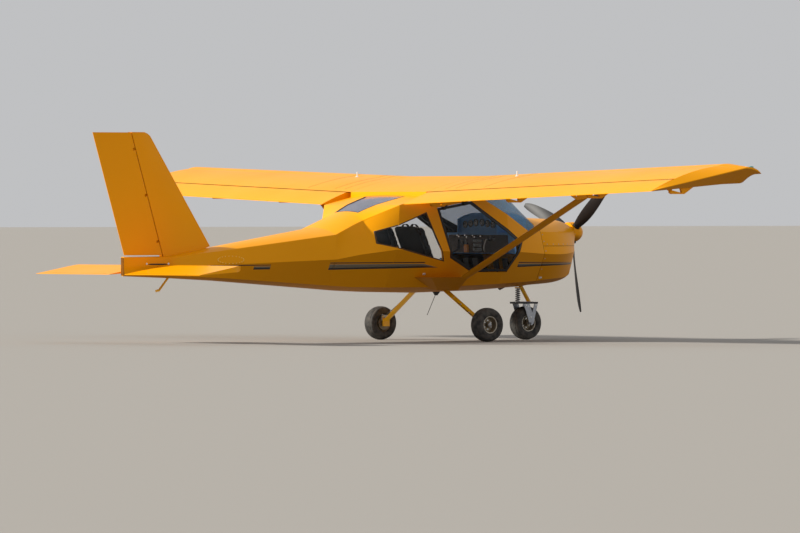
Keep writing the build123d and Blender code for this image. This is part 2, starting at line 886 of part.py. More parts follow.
axle_fit = axle_r + pin_clearance
main_rim_hub = 40
tyre_left = tyre_solid(0, wheel_y)
rim_left = rim_solid(0, wheel_y, main_rim_hub, axle_fit)
tyre_left = tyre_left - rim_left
disc_inner_y = wheel_y - brake_disc_inset
disc_outer_y = disc_inner_y + brake_disc_thickness
spool = tube((0, disc_inner_y, tyre_r), (0, wheel_y - main_rim_hub + 1, tyre_r), 26, axle_fit)
disc = tube((0, disc_inner_y, tyre_r), (0, disc_outer_y, tyre_r), brake_disc_r, axle_fit)
rim_left = rim_left + spool + disc
nose_tyre = tyre_solid(nose_axle_x, 0)
nose_rim = rim_solid(nose_axle_x, 0, 46, axle_fit)
nose_tyre = nose_tyre - nose_rim


# Main gear leg
leg_plate_y = wheel_y - leg_plate_inset
leg_plate_face = leg_plate_y + leg_plate_thickness


def main_leg():
    """Port sprung leg with its axle, its collar inside the wheel and its outer cap."""
    bar = lens_bar(main_leg_top, main_leg_foot, main_leg_width, main_leg_thickness)
    end_plate = box_between((-40, leg_plate_y, tyre_r - 34), (40, leg_plate_face, tyre_r + 52))
    hub_face = wheel_y + main_rim_hub
    axle = rod((0, leg_plate_y, tyre_r), (0, hub_face + 4, tyre_r), axle_r)
    collar = rod((0, leg_plate_y, tyre_r), (0, disc_inner_y - 1, tyre_r), 18)
    cap = rod((0, hub_face + 0.5, tyre_r), (0, hub_face + 10, tyre_r), 20)
    return bar + end_plate + axle + collar + cap


gear_leg_left = main_leg() - outer_hull
caliper = box_between(
    (-46, leg_plate_face, tyre_r + 26), (46, leg_plate_face + caliper_thickness, tyre_r + 82))

# Nose gear
rake = math.radians(steer_rake)
steer_up = Vector(-math.sin(rake), 0, math.cos(rake))
steer_base = Vector(*steer_top)


def on_steer(distance):
    """Point of the steering line, measured up from where it leaves the belly."""
    return tuple(steer_base + steer_up * distance)


nose_leg = rod(on_steer(-30), on_steer(170), steer_shaft_r)
nose_leg = nose_leg + rod(on_steer(-8), (leg_low_x, 0, fork_top_z + crown_thickness / 2), leg_r)
crown_half = fork_half_width + fork_plate
crown_top_z = fork_top_z + crown_thickness
nose_leg = nose_leg + box_between(
    (crown_rear_x, -crown_half, fork_top_z), (crown_front_x, crown_half, crown_top_z))
nose_leg = nose_leg + box_between(
    (shock_x - 22, -shock_cup_r, shock_top_z), (steer_top[0] + 10, shock_cup_r, shock_top_z + 10))
fork = prism_y(fork_outline, fork_half_width, fork_half_width + fork_plate)
nose_axle_half = fork_half_width + fork_plate + tow_peg
nose_axle = rod((nose_axle_x, -nose_axle_half, tyre_r), (nose_axle_x, nose_axle_half, tyre_r), axle_r)
nose_fork = fork + mirrored(fork) + nose_axle
nose_shock = rod((shock_x, 0, crown_top_z), (shock_x, 0, shock_top_z), shock_r)
for low in (crown_top_z, shock_top_z - shock_cup_height):
    nose_shock = nose_shock + rod((shock_x, 0, low), (shock_x, 0, low + shock_cup_height), shock_cup_r)
bearing_low = 20
bearing_high = 150
bearing = rod(on_steer(bearing_low), on_steer(bearing_high), 30)
bearing_web = box_between((firewall_x, -22, 606), (1130, 22, 704))
nose_bearing = (bearing + bearing_web) - rod(on_steer(0), on_steer(200), steer_shaft_r + pin_clearance)

# Fin and rudder, built square to the swept hinge line
hinge_a = Vector(hinge_foot[0], 0, hinge_foot[1])
hinge_b = Vector(hinge_head[0], 0, hinge_head[1])
hinge_run = (hinge_b - hinge_a).normalized()
hinge_fore = Vector(hinge_run.Z, 0, -hinge_run.X)


def hinge_place(along, fore, side):
    """Point by its distance up the hinge line, ahead of it and to port of it."""
    return tuple(hinge_a + hinge_run * along + hinge_fore * fore + Vector(0, side, 0))


def hinge_reach(point):
    """An (x, z) point's distances up the hinge line and ahead of it."""
    offset_from_foot = Vector(point[0], 0, point[1]) - hinge_a
    return offset_from_foot.dot(hinge_run), offset_from_foot.dot(hinge_fore)


nose_low_along, nose_low_chord = hinge_reach(fin_nose_low)
nose_high_along, nose_high_chord = hinge_reach(fin_nose_high)
nose_taper = (nose_high_chord - nose_low_chord) / (nose_high_along - nose_low_along)


def fin_section(along):
    """Fin section: round nose, widest at the hinge, hollowed round the rudder's nose."""
    chord = nose_low_chord + (along - nose_low_along) * nose_taper
    r = fin_half_thickness
    gap = r + running_gap
    lip = math.sqrt(gap ** 2 - (r - 3) ** 2)

    def at(fore, side):
        return hinge_place(along, fore, side)

    return path_wire(at(lip, r - 3), (
        ((at(chord * 0.55, r * 0.86)), at(chord - 14, 8)),
        (at(chord, 0), at(chord - 14, -8)),
        ((at(chord * 0.55, -r * 0.86)), at(lip, -r + 3)),
        (at(gap, 0), at(lip, r - 3)),
    ))


hinge_length = (fin_top_z - hinge_foot[1]) / hinge_run.Z
nose_slope = (fin_nose_high[0] - fin_nose_low[0]) / (fin_nose_high[1] - fin_nose_low[1])


def fin_nose_x(z):
    """Station of the fin's leading edge at a height."""
    return fin_nose_low[0] + (z - fin_nose_low[1]) * nose_slope


corner_back, corner_drop = fin_corner
corner_x = fin_nose_x(fin_top_z)
corner_cut = [
    (corner_x - corner_back, fin_top_z),
    (corner_x - corner_back / 5, fin_top_z - corner_drop / 3),
    (fin_nose_x(fin_top_z - corner_drop), fin_top_z - corner_drop),
    (corner_x + corner_back, fin_top_z - corner_drop),
    (corner_x + corner_back, fin_top_z + corner_drop),
    (corner_x - corner_back, fin_top_z + corner_drop),
]
fin = Solid.make_loft([fin_section(-80), fin_section(hinge_length + 70)], ruled=True)
fin = fin & box_between((-5000, -400, 600), (0, 400, fin_top_z))
fin = fin - prism_y(corner_cut, -100, 100)
fin = fin - tail_outer


rudder_top_z = fin_top_z - 4
hinge_slope = hinge_run.X / hinge_run.Z
hinge_top_x = hinge_foot[0] + (rudder_top_z - hinge_foot[1]) * hinge_slope
rudder_chord = (hinge_top_x - rudder_tip_x) * hinge_run.Z


def rudder_section(along):
    """Rudder section: round nose about the hinge line, straight taper to its rear edge."""
    r = fin_half_thickness

    def at(fore, side):
        return hinge_place(along, fore, side)

    return path_wire(at(0, r), (
        at(-rudder_chord, 3),
        at(-rudder_chord, -3),
        at(0, -r),
        (at(r, 0), at(0, r)),
    ))


rudder = Solid.make_loft([rudder_section(-100), rudder_section(hinge_length + 200)], ruled=True)
rudder = rudder & box_between((-5000, -400, rudder_bottom_z), (0, 400, rudder_top_z))


def hinge_rod(low, high, radius):
    """Round bar along the rudder's hinge line."""
    return rod(hinge_place(low, 0, 0), hinge_place(high, 0, 0), radius)


# Rudder hinges: lugs on the fin reach into slots in the rudder's nose, with pins through
rudder_hinge_shares = (0.128, 0.496, 0.864)
lug_half = 6
slot_half = 12
lug_side = 8
for share in rudder_hinge_shares:
    place = hinge_length * share
    rudder = rudder - hinge_rod(place - slot_half, place + slot_half, fin_half_thickness + 1)
    rudder = rudder + hinge_rod(place - slot_half - 8, place + slot_half + 8, hinge_pin_r)
    lug_plane = Plane(
        origin=hinge_place(place, 28, 0), x_dir=hinge_fore, z_dir=hinge_run)
    lug = lug_plane * Box(72, 2 * lug_side, 2 * lug_half)
    fin = fin + (lug - hinge_rod(place - 20, place + 20, hinge_pin_r + pin_clearance))


# Stabilator
def stab_section(y):
    """Symmetrical section of the tail surface at rest."""
    ahead = stab_chord * stab_pivot_share
    behind = stab_chord - ahead
    angle = math.radians(stab_rest_angle)
    half = stab_thickness / 2

    def at(fore, up):
        x = stab_pivot_x + fore * math.cos(angle) - up * math.sin(angle)
        z = stab_pivot_z + fore * math.sin(angle) + up * math.cos(angle)
        return (x, y, z)

    return path_wire(at(ahead, 0), (
        (at(ahead * 0.62, half * 0.78), at(-20, half)),
        at(-behind, 2),
        at(-behind, -2),
        at(-20, -half),
        (at(ahead * 0.62, -half * 0.78), at(ahead, 0)),
    ))


def stab_plan():
    """Upright block over the port half, with the round corner of its tip."""
    front_x = stab_pivot_x + stab_chord * stab_pivot_share
    rear_x = front_x - stab_chord
    turn = stab_corner_r * (1 - math.sqrt(0.5))
    low_z = stab_pivot_z - 200
    wire = path_wire((front_x, 0, low_z), (
        (front_x, stab_half_span - stab_corner_r, low_z),
        ((front_x - turn, stab_half_span - turn, low_z), (front_x - stab_corner_r, stab_half_span, low_z)),
        (rear_x, stab_half_span, low_z),
        (rear_x, 0, low_z),
        (front_x, 0, low_z),
    ))
    return extrude(Face(wire), amount=400, dir=(0, 0, 1))


def cross_bar(half, radius):
    """Round bar across the aircraft on the stabilator's pivot line."""
    return rod((stab_pivot_x, -half, stab_pivot_z), (stab_pivot_x, half, stab_pivot_z), radius)


stab_port = Solid.make_loft([stab_section(stab_root_y), stab_section(stab_half_span)], ruled=True)
stab_port = stab_port & stab_plan()
stabilator = stab_port + mirrored(stab_port) + cross_bar(stab_root_y + 5, torque_tube_r)
tail_cone = tail_cone - cross_bar(300, torque_tube_r + pin_clearance)


# Doors
def door():
    """Port door frame, as thick as the cabin wall."""
    outline = inset_outline(door_outline, door_gap)
    opening = inset_outline(door_outline, door_gap + door_frame_width)
    shell = outer_hull - inner_hull
    ring = shell & prism_y(outline, 300, 1000)
    return ring - prism_y(opening, 300, 1000)


def door_pane():
    """Port door's clear panel."""
    opening = inset_outline(door_outline, door_gap + door_frame_width + pane_gap)
    return pane_hull & prism_y(opening, 300, 1000)


def side_at(x, z):
    """Half width of the cabin's outer side at a station and height, above the waist."""
    for rear, front in zip(cabin_sections, cabin_sections[1:]):
        if rear[0] <= x <= front[0]:
            share = (x - rear[0]) / (front[0] - rear[0])
            row = [r + (f - r) * share for r, f in zip(rear, front)]
            up = (z - row[5]) / (row[7] - row[5])
            return row[4] + (row[6] - row[4]) * up


# Door hinges along the door's top edge, outside the skin
door_rear = door_outline[0]
door_front = door_outline[1]
door_axis_a = Vector(door_rear[0], side_at(*door_rear) + door_hinge_out, door_rear[1])
door_axis_b = Vector(door_front[0], side_at(*door_front) + door_hinge_out, door_front[1])
door_run = (door_axis_b - door_axis_a).normalized()
door_hinge_shares = (0.2, 0.8)
door_pin_r = 3
knuckle_r = 7


def door_bar(share, low, high, radius):
    """Round bar along the door's hinge line, from a share of its length."""
    middle = door_axis_a + (door_axis_b - door_axis_a) * share
    return rod(tuple(middle + door_run * low), tuple(middle + door_run * high), radius)


def hinge_leaf(share, up, half_length):
    """Plate from the hinge line onto the skin, above the line or below it."""
    middle = door_axis_a + (door_axis_b - door_axis_a) * share
    x, y, z = middle.X, middle.Y, middle.Z
    low, high = (z, z + 34) if up else (z - 34, z)
    plate = box_between((x - half_length, y - door_hinge_out - 6, low), (x + half_length, y + 3, high))
    return plate - outer_hull


def door_with_hinges():
    """Port door with its half of each hinge and the pins."""
    leaf = door()
    for share in door_hinge_shares:
        leaf = leaf + hinge_leaf(share, False, 14)
        leaf = leaf + door_bar(share, -14, 14, knuckle_r) + door_bar(share, -36, 36, door_pin_r)
    return leaf


def fixed_hinges():
    """The cabin's halves of the port door's hinges."""
    halves = []
    for share in door_hinge_shares:
        for low in (-38, 16):
            knuckle = door_bar(share, low, low + 22, knuckle_r)
            middle = door_axis_a + (door_axis_b - door_axis_a) * share + door_run * (low + 11)
            foot = box_between(
                (middle.X - 9, middle.Y - door_hinge_out - 6, middle.Z + 2),
                (middle.X + 9, middle.Y + 3, middle.Z + 30))
            half = (knuckle + foot) - outer_hull - door_bar(share, -50, 50, door_pin_r + pin_clearance)
            halves.append(half)
    return halves


door_left = door_with_hinges()
door_glass_left = door_pane()
door_hinges = fixed_hinges()

# Instrument panel: an upright sheet, a shelf behind it and an arched hood over both
shelf_low = shelf_z - shelf_thickness
panel_outline = (
    (590, shelf_z),
    (602, 905),
    (624, 900),
    (628, shelf_low),
    (wall_x, shelf_low),
    (wall_x, shelf_z),
)


def hood_block(inset, x_from, x_to):
    """Arched block over the middle of the panel, moved inwards by an amount."""
    side = hood_half_width - inset
    low = shelf_z - 10
    wire = path_wire((x_from, -side, low), (
        (x_from, side, low),
        (x_from, side, hood_shoulder_z - inset),
        ((x_from, 0, hood_crown_z - inset), (x_from, -side, hood_shoulder_z - inset)),
        (x_from, -side, low),
    ))
    return extrude(Face(wire), amount=x_to - x_from, dir=(1, 0, 0))


seat_room = body_loft(cabin_sections, cabin_wall + 3)
hood_hollow = hood_block(hood_wall, hood_rear_x - 1, hood_front_x + 1)
hood_face = hood_block(hood_wall, hood_rear_x + 30, hood_rear_x + 50)
hood = (hood_block(0, hood_rear_x, hood_front_x) - hood_hollow + hood_face) & seat_room
instrument_panel = (inner_hull & prism_y(panel_outline, -700, 700)) + hood

# Seats, control stick with its two grips, rudder pedals
port_seat = prism_y(seat_outline, seat_inner_y, seat_outer_y) & seat_room
seats = [port_seat, mirrored(port_seat)]
grip = rod(stick_top, grip_foot, stick_arm_r) + rod(grip_foot, grip_top, grip_r)
below_floor = box_between((-1000, -800, 0), (1000, 800, floor_top))
control_stick = (rod(stick_foot, stick_top, stick_r) + grip + mirrored(grip)) - below_floor
pedals = []
for y in pedal_y:
    arm = rod((pedal_foot[0], y, pedal_foot[1] - 5), (pedal_top[0], y, pedal_top[1]), 8)
    pad = Pos(pedal_top[0] - 6, y, pedal_top[1] + 10) * Rot(0, -12, 0) * Box(*pedal_pad)
    pedals.append((arm + pad) - below_floor)

# Tail skid, belly aerial and exhaust
skid = rod(skid_top, skid_foot, skid_r) + rod(skid_shoe_front, skid_shoe_rear, skid_shoe_r)
tail_skid = skid - tail_outer
aerial_base = prism_y(aerial_base_outline, -9, 9)
belly_aerial = (rod(aerial_foot, aerial_tip, aerial_r) + aerial_base) - outer_hull
exhaust_pipe = rod(exhaust_inner, exhaust_outer, exhaust_r) - outer_hull - cowl_outer

# Wing panel and its strut, with the cuff plate and its tie-down hole
strut_run = (Vector(*strut_head) - Vector(*strut_foot)).normalized()
strut_end = tuple(Vector(*strut_head) + strut_run * strut_overrun)
strut_left = lens_bar(
    strut_foot, strut_end, strut_chord, strut_thickness, perpendicular_dir(strut_foot, strut_head))
wing_left = wing_panel()
cuff = prism_y(cuff_outline, cuff_y - cuff_thickness / 2, cuff_y + cuff_thickness / 2)
tie_x, tie_z = tie_down
tie_down_cut = rod((tie_x, cuff_y - 20, tie_z), (tie_x, cuff_y + 20, tie_z), tie_down_r)
strut_left = (strut_left + cuff) - outer_hull - port_fairing - wing_solid - tie_down_cut

nodes = {
    "cabin_shell": shell_panels(cabin_shell),
    "strut_fairings": strut_fairings,
    "cabin_floor": [cabin_floor],
    "roof_centre": [roof],
    "windshield": [windshield],
    "quarter_windows": [quarter_windows],
    "skylight": [skylight],
    "tail_cone": [tail_cone],
    "cowl_upper": [cowl_upper],
    "cowl_lower": [cowl_lower],
    "engine_block": [engine_block],
    "exhaust_pipe": [exhaust_pipe],
    "instrument_panel": [instrument_panel],
    "seats": seats,
    "control_stick": [control_stick],
    "pedals": pedals,
    "door_hinges": door_hinges + [mirrored(half) for half in door_hinges],
    "tail_skid": [tail_skid],
    "belly_aerial": [belly_aerial],
    "propeller": [propeller],
    "spinner": [spinner],
    "wing_left": [wing_left],
    "wing_right": [mirrored(wing_left)],
    "wing_tip_left": [wing_tip()],
    "wing_tip_right": [mirrored(wing_tip())],
    "flaperon_left": [flaperon()],
    "flaperon_right": [mirrored(flaperon())],
    "flaperon_brackets": [flaperon_bracket(y) for y in bracket_y] + [
        mirrored(flaperon_bracket(y)) for y in bracket_y],
    "lift_strut_left": [strut_left],
    "lift_strut_right": [mirrored(strut_left)],
    "gear_leg_left": [gear_leg_left],
    "gear_leg_right": [mirrored(gear_leg_left)],
    "brake_calipers": [caliper, mirrored(caliper)],
    "tyre_left": [tyre_left],
    "tyre_right": [mirrored(tyre_left)],
    "rim_left": [rim_left],
    "rim_right": [mirrored(rim_left)],
    "nose_bearing": [nose_bearing],
    "nose_leg": [nose_leg],
    "nose_fork": [nose_fork],
    "nose_shock": [nose_shock],
    "nose_tyre": [nose_tyre],
    "nose_rim": [nose_rim],
    "fin": [fin],
    "rudder": [rudder],
    "stabilator": [stabilator],
    "door_left": [door_left],
    "door_right": [mirrored(door_left)],
    "door_glass_left": [door_glass_left],
    "door_glass_right": [mirrored(door_glass_left)],
}

for name, shapes in nodes.items():
    solids = []
    for shape in shapes:
        solids += shape.solids()
    moved = [Pos(datum_shift, 0, 0) * solid for solid in solids]
    export_step(Compound(moved) if len(moved) > 1 else moved[0], f"parts/{name}.step")
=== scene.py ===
"""Looks of a high-wing two-seat ultralight aircraft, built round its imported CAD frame.

Lengths are in metres. The tables measure x forward from the main axle, y to port and z up, and
make_piece moves them by DATUM_X into the frame.
"""

import json
import logging
import math
from collections.abc import Sequence
from dataclasses import dataclass, replace
from enum import Enum

import bmesh
import bpy
import numpy as np
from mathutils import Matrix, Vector
from mathutils.bvhtree import BVHTree

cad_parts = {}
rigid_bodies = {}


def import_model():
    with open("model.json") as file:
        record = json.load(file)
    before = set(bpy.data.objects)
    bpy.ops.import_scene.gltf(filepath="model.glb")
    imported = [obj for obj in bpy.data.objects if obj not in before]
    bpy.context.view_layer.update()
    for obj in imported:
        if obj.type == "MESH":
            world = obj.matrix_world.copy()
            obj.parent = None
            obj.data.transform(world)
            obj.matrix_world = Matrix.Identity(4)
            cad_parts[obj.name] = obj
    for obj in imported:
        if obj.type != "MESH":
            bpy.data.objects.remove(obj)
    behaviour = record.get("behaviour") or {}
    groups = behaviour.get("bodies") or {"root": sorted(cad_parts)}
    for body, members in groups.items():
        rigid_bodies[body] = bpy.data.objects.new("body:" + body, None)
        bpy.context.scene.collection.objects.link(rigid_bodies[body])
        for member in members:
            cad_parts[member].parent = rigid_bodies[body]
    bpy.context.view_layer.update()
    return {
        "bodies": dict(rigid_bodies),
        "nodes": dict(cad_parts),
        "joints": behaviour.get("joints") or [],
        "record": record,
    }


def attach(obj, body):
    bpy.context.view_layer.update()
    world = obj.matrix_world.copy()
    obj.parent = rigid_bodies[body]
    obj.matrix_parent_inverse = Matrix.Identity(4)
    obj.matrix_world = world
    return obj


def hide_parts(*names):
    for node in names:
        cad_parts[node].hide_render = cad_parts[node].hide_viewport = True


LOG = logging.getLogger("ultralight")
DATUM_X = 1.181  # from the main axle to the frame's origin
BESIDE = 1.2  # where strips and rays from the side start, past the body's half width
ABOVE = 2.4  # where strips and rays from above start, past the wing's top
WASHER_THICK = 0.002
BOLT_SHARP = 25.0  # degrees between faces from which a bolt's edge stays sharp

Colour = tuple[float, float, float, float]
Point = tuple[float, float, float]
Place = Point | np.ndarray  # a point or a direction
Pairs = tuple[tuple[float, float], ...]
Row = float | Sequence[float] | np.ndarray  # one coordinate of a path, for all or for each point
Nodes = dict[str, bpy.types.Object]  # CAD node objects by name
Socket = bpy.types.NodeSocket
Inputs = dict[str | int, object]  # values or sockets, by the input's name or number


class Body(Enum):
    """The frame's rigid bodies that new pieces ride on."""

    AIRFRAME = "airframe"
    PROPELLER = "propeller"
    WHEEL_LEFT = "main_wheel_left"
    WHEEL_RIGHT = "main_wheel_right"
    NOSE_GEAR = "nose_gear"
    NOSE_WHEEL = "nose_wheel"
    STABILATOR = "stabilator"


class Ahead(Enum):
    """Ways along which a strip is laid onto a surface: the axis, and whether it runs up it."""

    TO_PORT = (1, True)
    TO_STARBOARD = (1, False)
    DOWN = (2, False)


class Side(Enum):
    """Port is towards +Y, starboard towards -Y."""

    PORT = 1
    STARBOARD = -1

    @property
    def label(self) -> str:
        """The side's word in the names of pieces."""
        return self.name.lower()

    @property
    def inward(self) -> Point:
        """Direction from this side to the middle line."""
        return (0.0, -float(self.value), 0.0)

    @property
    def ahead(self) -> Ahead:
        """The way in which a strip that starts on this side is laid."""
        return Ahead.TO_PORT if self is Side.STARBOARD else Ahead.TO_STARBOARD


class StripePart(Enum):
    """What a stripe is made of, from the top down."""

    LINE = "line"
    BAND = "band"
    EDGE = "edge"


# Node trees


def fill(tree: bpy.types.NodeTree, node: bpy.types.Node, inputs: Inputs) -> bpy.types.Node:
    """Gives a node's inputs their values, or links them where the value is a socket.

    Args:
        tree: The tree that holds the node.
        node: The node.
        inputs: Values or sockets, by the input's name or number.

    Returns:
        The same node.
    """
    for name, value in inputs.items():
        if isinstance(value, Socket):
            tree.links.new(value, node.inputs[name])
        else:
            node.inputs[name].default_value = value
    return node


def add_node(
    tree: bpy.types.NodeTree, kind: str, inputs: Inputs | None = None, **options: object
) -> bpy.types.Node:
    """Adds a node, sets its options and fills its inputs.

    Args:
        tree: Node tree of a material or of a node group.
        kind: Blender's name of the node's kind.
        inputs: Values or sockets, by the input's name or number.
        options: The node's own options.

    Returns:
        The new node.
    """
    node = tree.nodes.new(kind)
    for name, value in options.items():
        setattr(node, name, value)
    return fill(tree, node, inputs or {})


# Finishes

# Painted shade: the colour that faces looking down are darkened towards.
UNDERSIDE_SHADE_COLOUR: Colour = (0.13, 0.042, 0.001, 1)
DULLING = 0.5  # roughness that the full painted underside shade adds
INSIDE_NEAR_BLACK: Colour = (0.020, 0.018, 0.016, 1)
INWARD = -0.02  # metres: a face looks inwards where offset dot normal is below it
STAIN_OCTAVES = 5.0
GRAIN_OCTAVES = 3.0
WAVE_RATE = 20.0  # radians a metre of a wave texture whose scale is one


@dataclass(frozen=True)
class Finish:
    """A surface finish that becomes one procedural material.

    The colour drifts from base to stain with a noise of stain_size metres, between the noise
    values in stain_from. The roughness drifts by rough_drift, and a finer noise of grain_size
    metres raises the bump. Painted shade darkens and dulls faces that look down: it starts and is
    full where the normal's z has the two values given for its slope. A finish can also turn near
    black on faces that look towards the cabin's middle, at cabin_z. A woven finish has two
    crossed waves of thread in its bump.
    """

    name: str
    slot: str
    base: Colour
    stain: Colour
    rough: float = 0.4
    rough_drift: float = 0.08
    metal: float = 0.0
    coat: float = 0.0
    coat_rough: float = 0.12
    stain_size: float = 0.6
    stain_amount: float = 0.3
    stain_from: tuple[float, float] = (0.35, 0.75)
    grain_size: float = 0.004
    bump: float = 0.05
    bump_depth: float = 0.0004
    alpha: float = 1.0
    specular: float = 0.5
    # Painted shade on faces that look down: how much, and the normal's z where it starts and is
    # full.
    grime: float = 0.0
    grime_slope: tuple[float, float] = (-0.20, -0.60)
    dark_inside: bool = False
    cabin_z: float = 0.95
    woven: float = 0.0

    def material(self) -> bpy.types.Material:
        """Builds the material, or returns the one already built.

        Returns:
            The Blender material with its node tree.
        """
        label = f"{self.name}_look"
        found = bpy.data.materials.get(label)
        if found:
            return found
        made = bpy.data.materials.new(label)
        made.use_nodes = True
        tree = made.node_tree
        place = add_node(tree, "ShaderNodeTexCoord")
        stain = self._noise(tree, place, self.stain_size, STAIN_OCTAVES)
        share = self._range(tree, stain, self.stain_from, (0.0, self.stain_amount))
        colour = self._mix(tree, share, self.base, self.stain)
        low = max(self.rough - self.rough_drift, 0.02)
        rough = self._range(tree, stain, (0.0, 1.0), (low, self.rough + self.rough_drift))
        if self.grime:
            colour, rough = self._soiling(tree, place, colour, rough)
        if self.dark_inside:
            colour = self._darken_inside(tree, place, colour)
        height = (
            self._weave(tree, place) if self.woven
            else self._noise(tree, place, self.grain_size, GRAIN_OCTAVES))
        bump = add_node(tree, "ShaderNodeBump", {
            "Strength": self.bump, "Distance": self.bump_depth, "Height": height})
        fill(tree, tree.nodes["Principled BSDF"], {
            "Base Color": colour, "Roughness": rough, "Normal": bump.outputs["Normal"],
            "Metallic": self.metal, "Coat Weight": self.coat, "Coat Roughness": self.coat_rough,
            "Specular IOR Level": self.specular, "Alpha": self.alpha})
        return made

    @staticmethod
    def _range(
        tree: bpy.types.NodeTree, value: Socket, old: tuple[float, float],
        new: tuple[float, float],
    ) -> Socket:
        """Maps a value from its old range onto a new one.

        Args:
            tree: The material's node tree.
            value: Socket of the value.
            old: Values that become the new range's ends.
            new: Ends of the new range.

        Returns:
            The mapped value's socket.
        """
        node = add_node(tree, "ShaderNodeMapRange", {
            "Value": value, "From Min": old[0], "From Max": old[1],
            "To Min": new[0], "To Max": new[1]})
        return node.outputs["Result"]

    @staticmethod
    def _mix(
        tree: bpy.types.NodeTree, share: Socket, first: Colour | Socket, second: Colour
    ) -> Socket:
        """Mixes two colours by the second one's share."""
        inputs = {"Factor": share, "A": first, "B": second}
        return add_node(tree, "ShaderNodeMix", inputs, data_type="RGBA").outputs["Result"]

    @staticmethod
    def _noise(
        tree: bpy.types.NodeTree, place: bpy.types.Node, size: float, detail: float
    ) -> Socket:
        """Noise with features of about size metres and the given octaves of detail."""
        inputs = {"Scale": 1.0 / size, "Detail": detail, "Vector": place.outputs["Object"]}
        return add_node(tree, "ShaderNodeTexNoise", inputs).outputs["Fac"]

    def _weave(self, tree: bpy.types.NodeTree, place: bpy.types.Node) -> Socket:
        """Two crossed waves for the bump, whose phase grows by one radian each woven metres.

        Args:
            tree: The material's node tree.
            place: Texture Coordinate node of the tree.

        Returns:
            The socket of the waves' sum.
        """
        inputs = {
            "Scale": 1.0 / (WAVE_RATE * self.woven), "Distortion": 0.6,
            "Vector": place.outputs["Object"]}
        first, second = (
            add_node(tree, "ShaderNodeTexWave", inputs, bands_direction=way).outputs["Fac"]
            for way in ("X", "DIAGONAL"))
        both = add_node(tree, "ShaderNodeMath", {0: first, 1: second}, operation="ADD")
        return both.outputs[0]

    def _soiling(
        self, tree: bpy.types.NodeTree, place: bpy.types.Node, colour: Socket, rough: Socket
    ) -> tuple[Socket, Socket]:
        """Paints shade onto faces that look down: darkens and dulls them, more the more they do.

        Args:
            tree: The material's node tree.
            place: Texture Coordinate node of the tree.
            colour: Socket of the clean colour.
            rough: Socket of the clean roughness.

        Returns:
            The sockets of the colour with its painted shade, and of the dulled roughness.
        """
        parts = add_node(tree, "ShaderNodeSeparateXYZ", {0: place.outputs["Normal"]})
        # Painted shade: the darker share grows as the face looks further down.
        share = self._range(tree, parts.outputs["Z"], self.grime_slope, (0.0, self.grime))
        dull = add_node(
            tree, "ShaderNodeMath", {0: share, 1: DULLING, 2: rough}, operation="MULTIPLY_ADD")
        return self._mix(tree, share, colour, UNDERSIDE_SHADE_COLOUR), dull.outputs[0]

    def _darken_inside(
        self, tree: bpy.types.NodeTree, place: bpy.types.Node, colour: Socket
    ) -> Socket:
        """Turns faces dark that look towards the cabin's middle line.

        A face looks inwards where its normal and its offset from the line y = 0, z = cabin_z
        point opposite ways.

        Args:
            tree: The material's node tree.
            place: Texture Coordinate node of the tree.
            colour: Socket of the outer colour.

        Returns:
            The lined colour's socket.
        """
        offset = add_node(tree, "ShaderNodeVectorMath", {
            0: place.outputs["Object"], 1: (0.0, 0.0, self.cabin_z)}, operation="SUBTRACT")
        flat = add_node(tree, "ShaderNodeVectorMath", {
            0: offset.outputs["Vector"], 1: (0.0, 1.0, 1.0)}, operation="MULTIPLY")
        dot = add_node(tree, "ShaderNodeVectorMath", {
            0: flat.outputs["Vector"], 1: place.outputs["Normal"]}, operation="DOT_PRODUCT")
        inward = add_node(
            tree, "ShaderNodeMath", {0: dot.outputs["Value"], 1: INWARD}, operation="LESS_THAN")
        return self._mix(tree, inward.outputs[0], colour, INSIDE_NEAR_BLACK)


def lens(name: str, base: Colour, stain: Colour) -> Finish:
    """Finish of a lamp's coloured cover."""
    return Finish(name, "clear_pane", base, stain, rough=0.1, coat=1.0, stain_size=0.02)


YELLOW = Finish(
    "yellow_paint", "yellow_paint", (0.93, 0.375, 0.0, 1), (0.84, 0.305, 0.0, 1), rough=0.34,
    coat=0.03, specular=0.13, stain_amount=0.5, grain_size=0.006, bump=0.08, grime=0.6, dark_inside=True)
SKIN = replace(YELLOW, name="wing_paint", stain_size=0.9, stain_amount=0.4, dark_inside=False)
# Yellow paint of the gear legs, made lighter than the body's so that they look sunlit: partly real
# paint, partly painted light.
LEG_YELLOW_AND_LIGHT = Finish(
    "leg_paint", "leg_yellow", (1.0, 0.52, 0.004, 1), (0.75, 0.34, 0.008, 1), rough=0.34, coat=0.1,
    stain_size=0.05, stain_amount=0.35)
PANE = Finish(
    "clear_pane", "clear_pane", (0.10, 0.12, 0.14, 1), (0.16, 0.18, 0.20, 1), rough=0.04,
    rough_drift=0.02, bump=0.0, alpha=0.07, specular=0.6)
WINDSHIELD = replace(
    PANE, name="tinted_pane", base=(0.13, 0.34, 0.56, 1), stain=(0.10, 0.27, 0.48, 1), alpha=0.42)
SKYLIGHT = Finish(
    "roof_pane", "clear_pane", (0.26, 0.26, 0.34, 1), (0.16, 0.18, 0.24, 1), rough=0.08,
    rough_drift=0.04, bump=0.0, alpha=0.62, specular=0.9, stain_size=0.25, stain_amount=0.8)
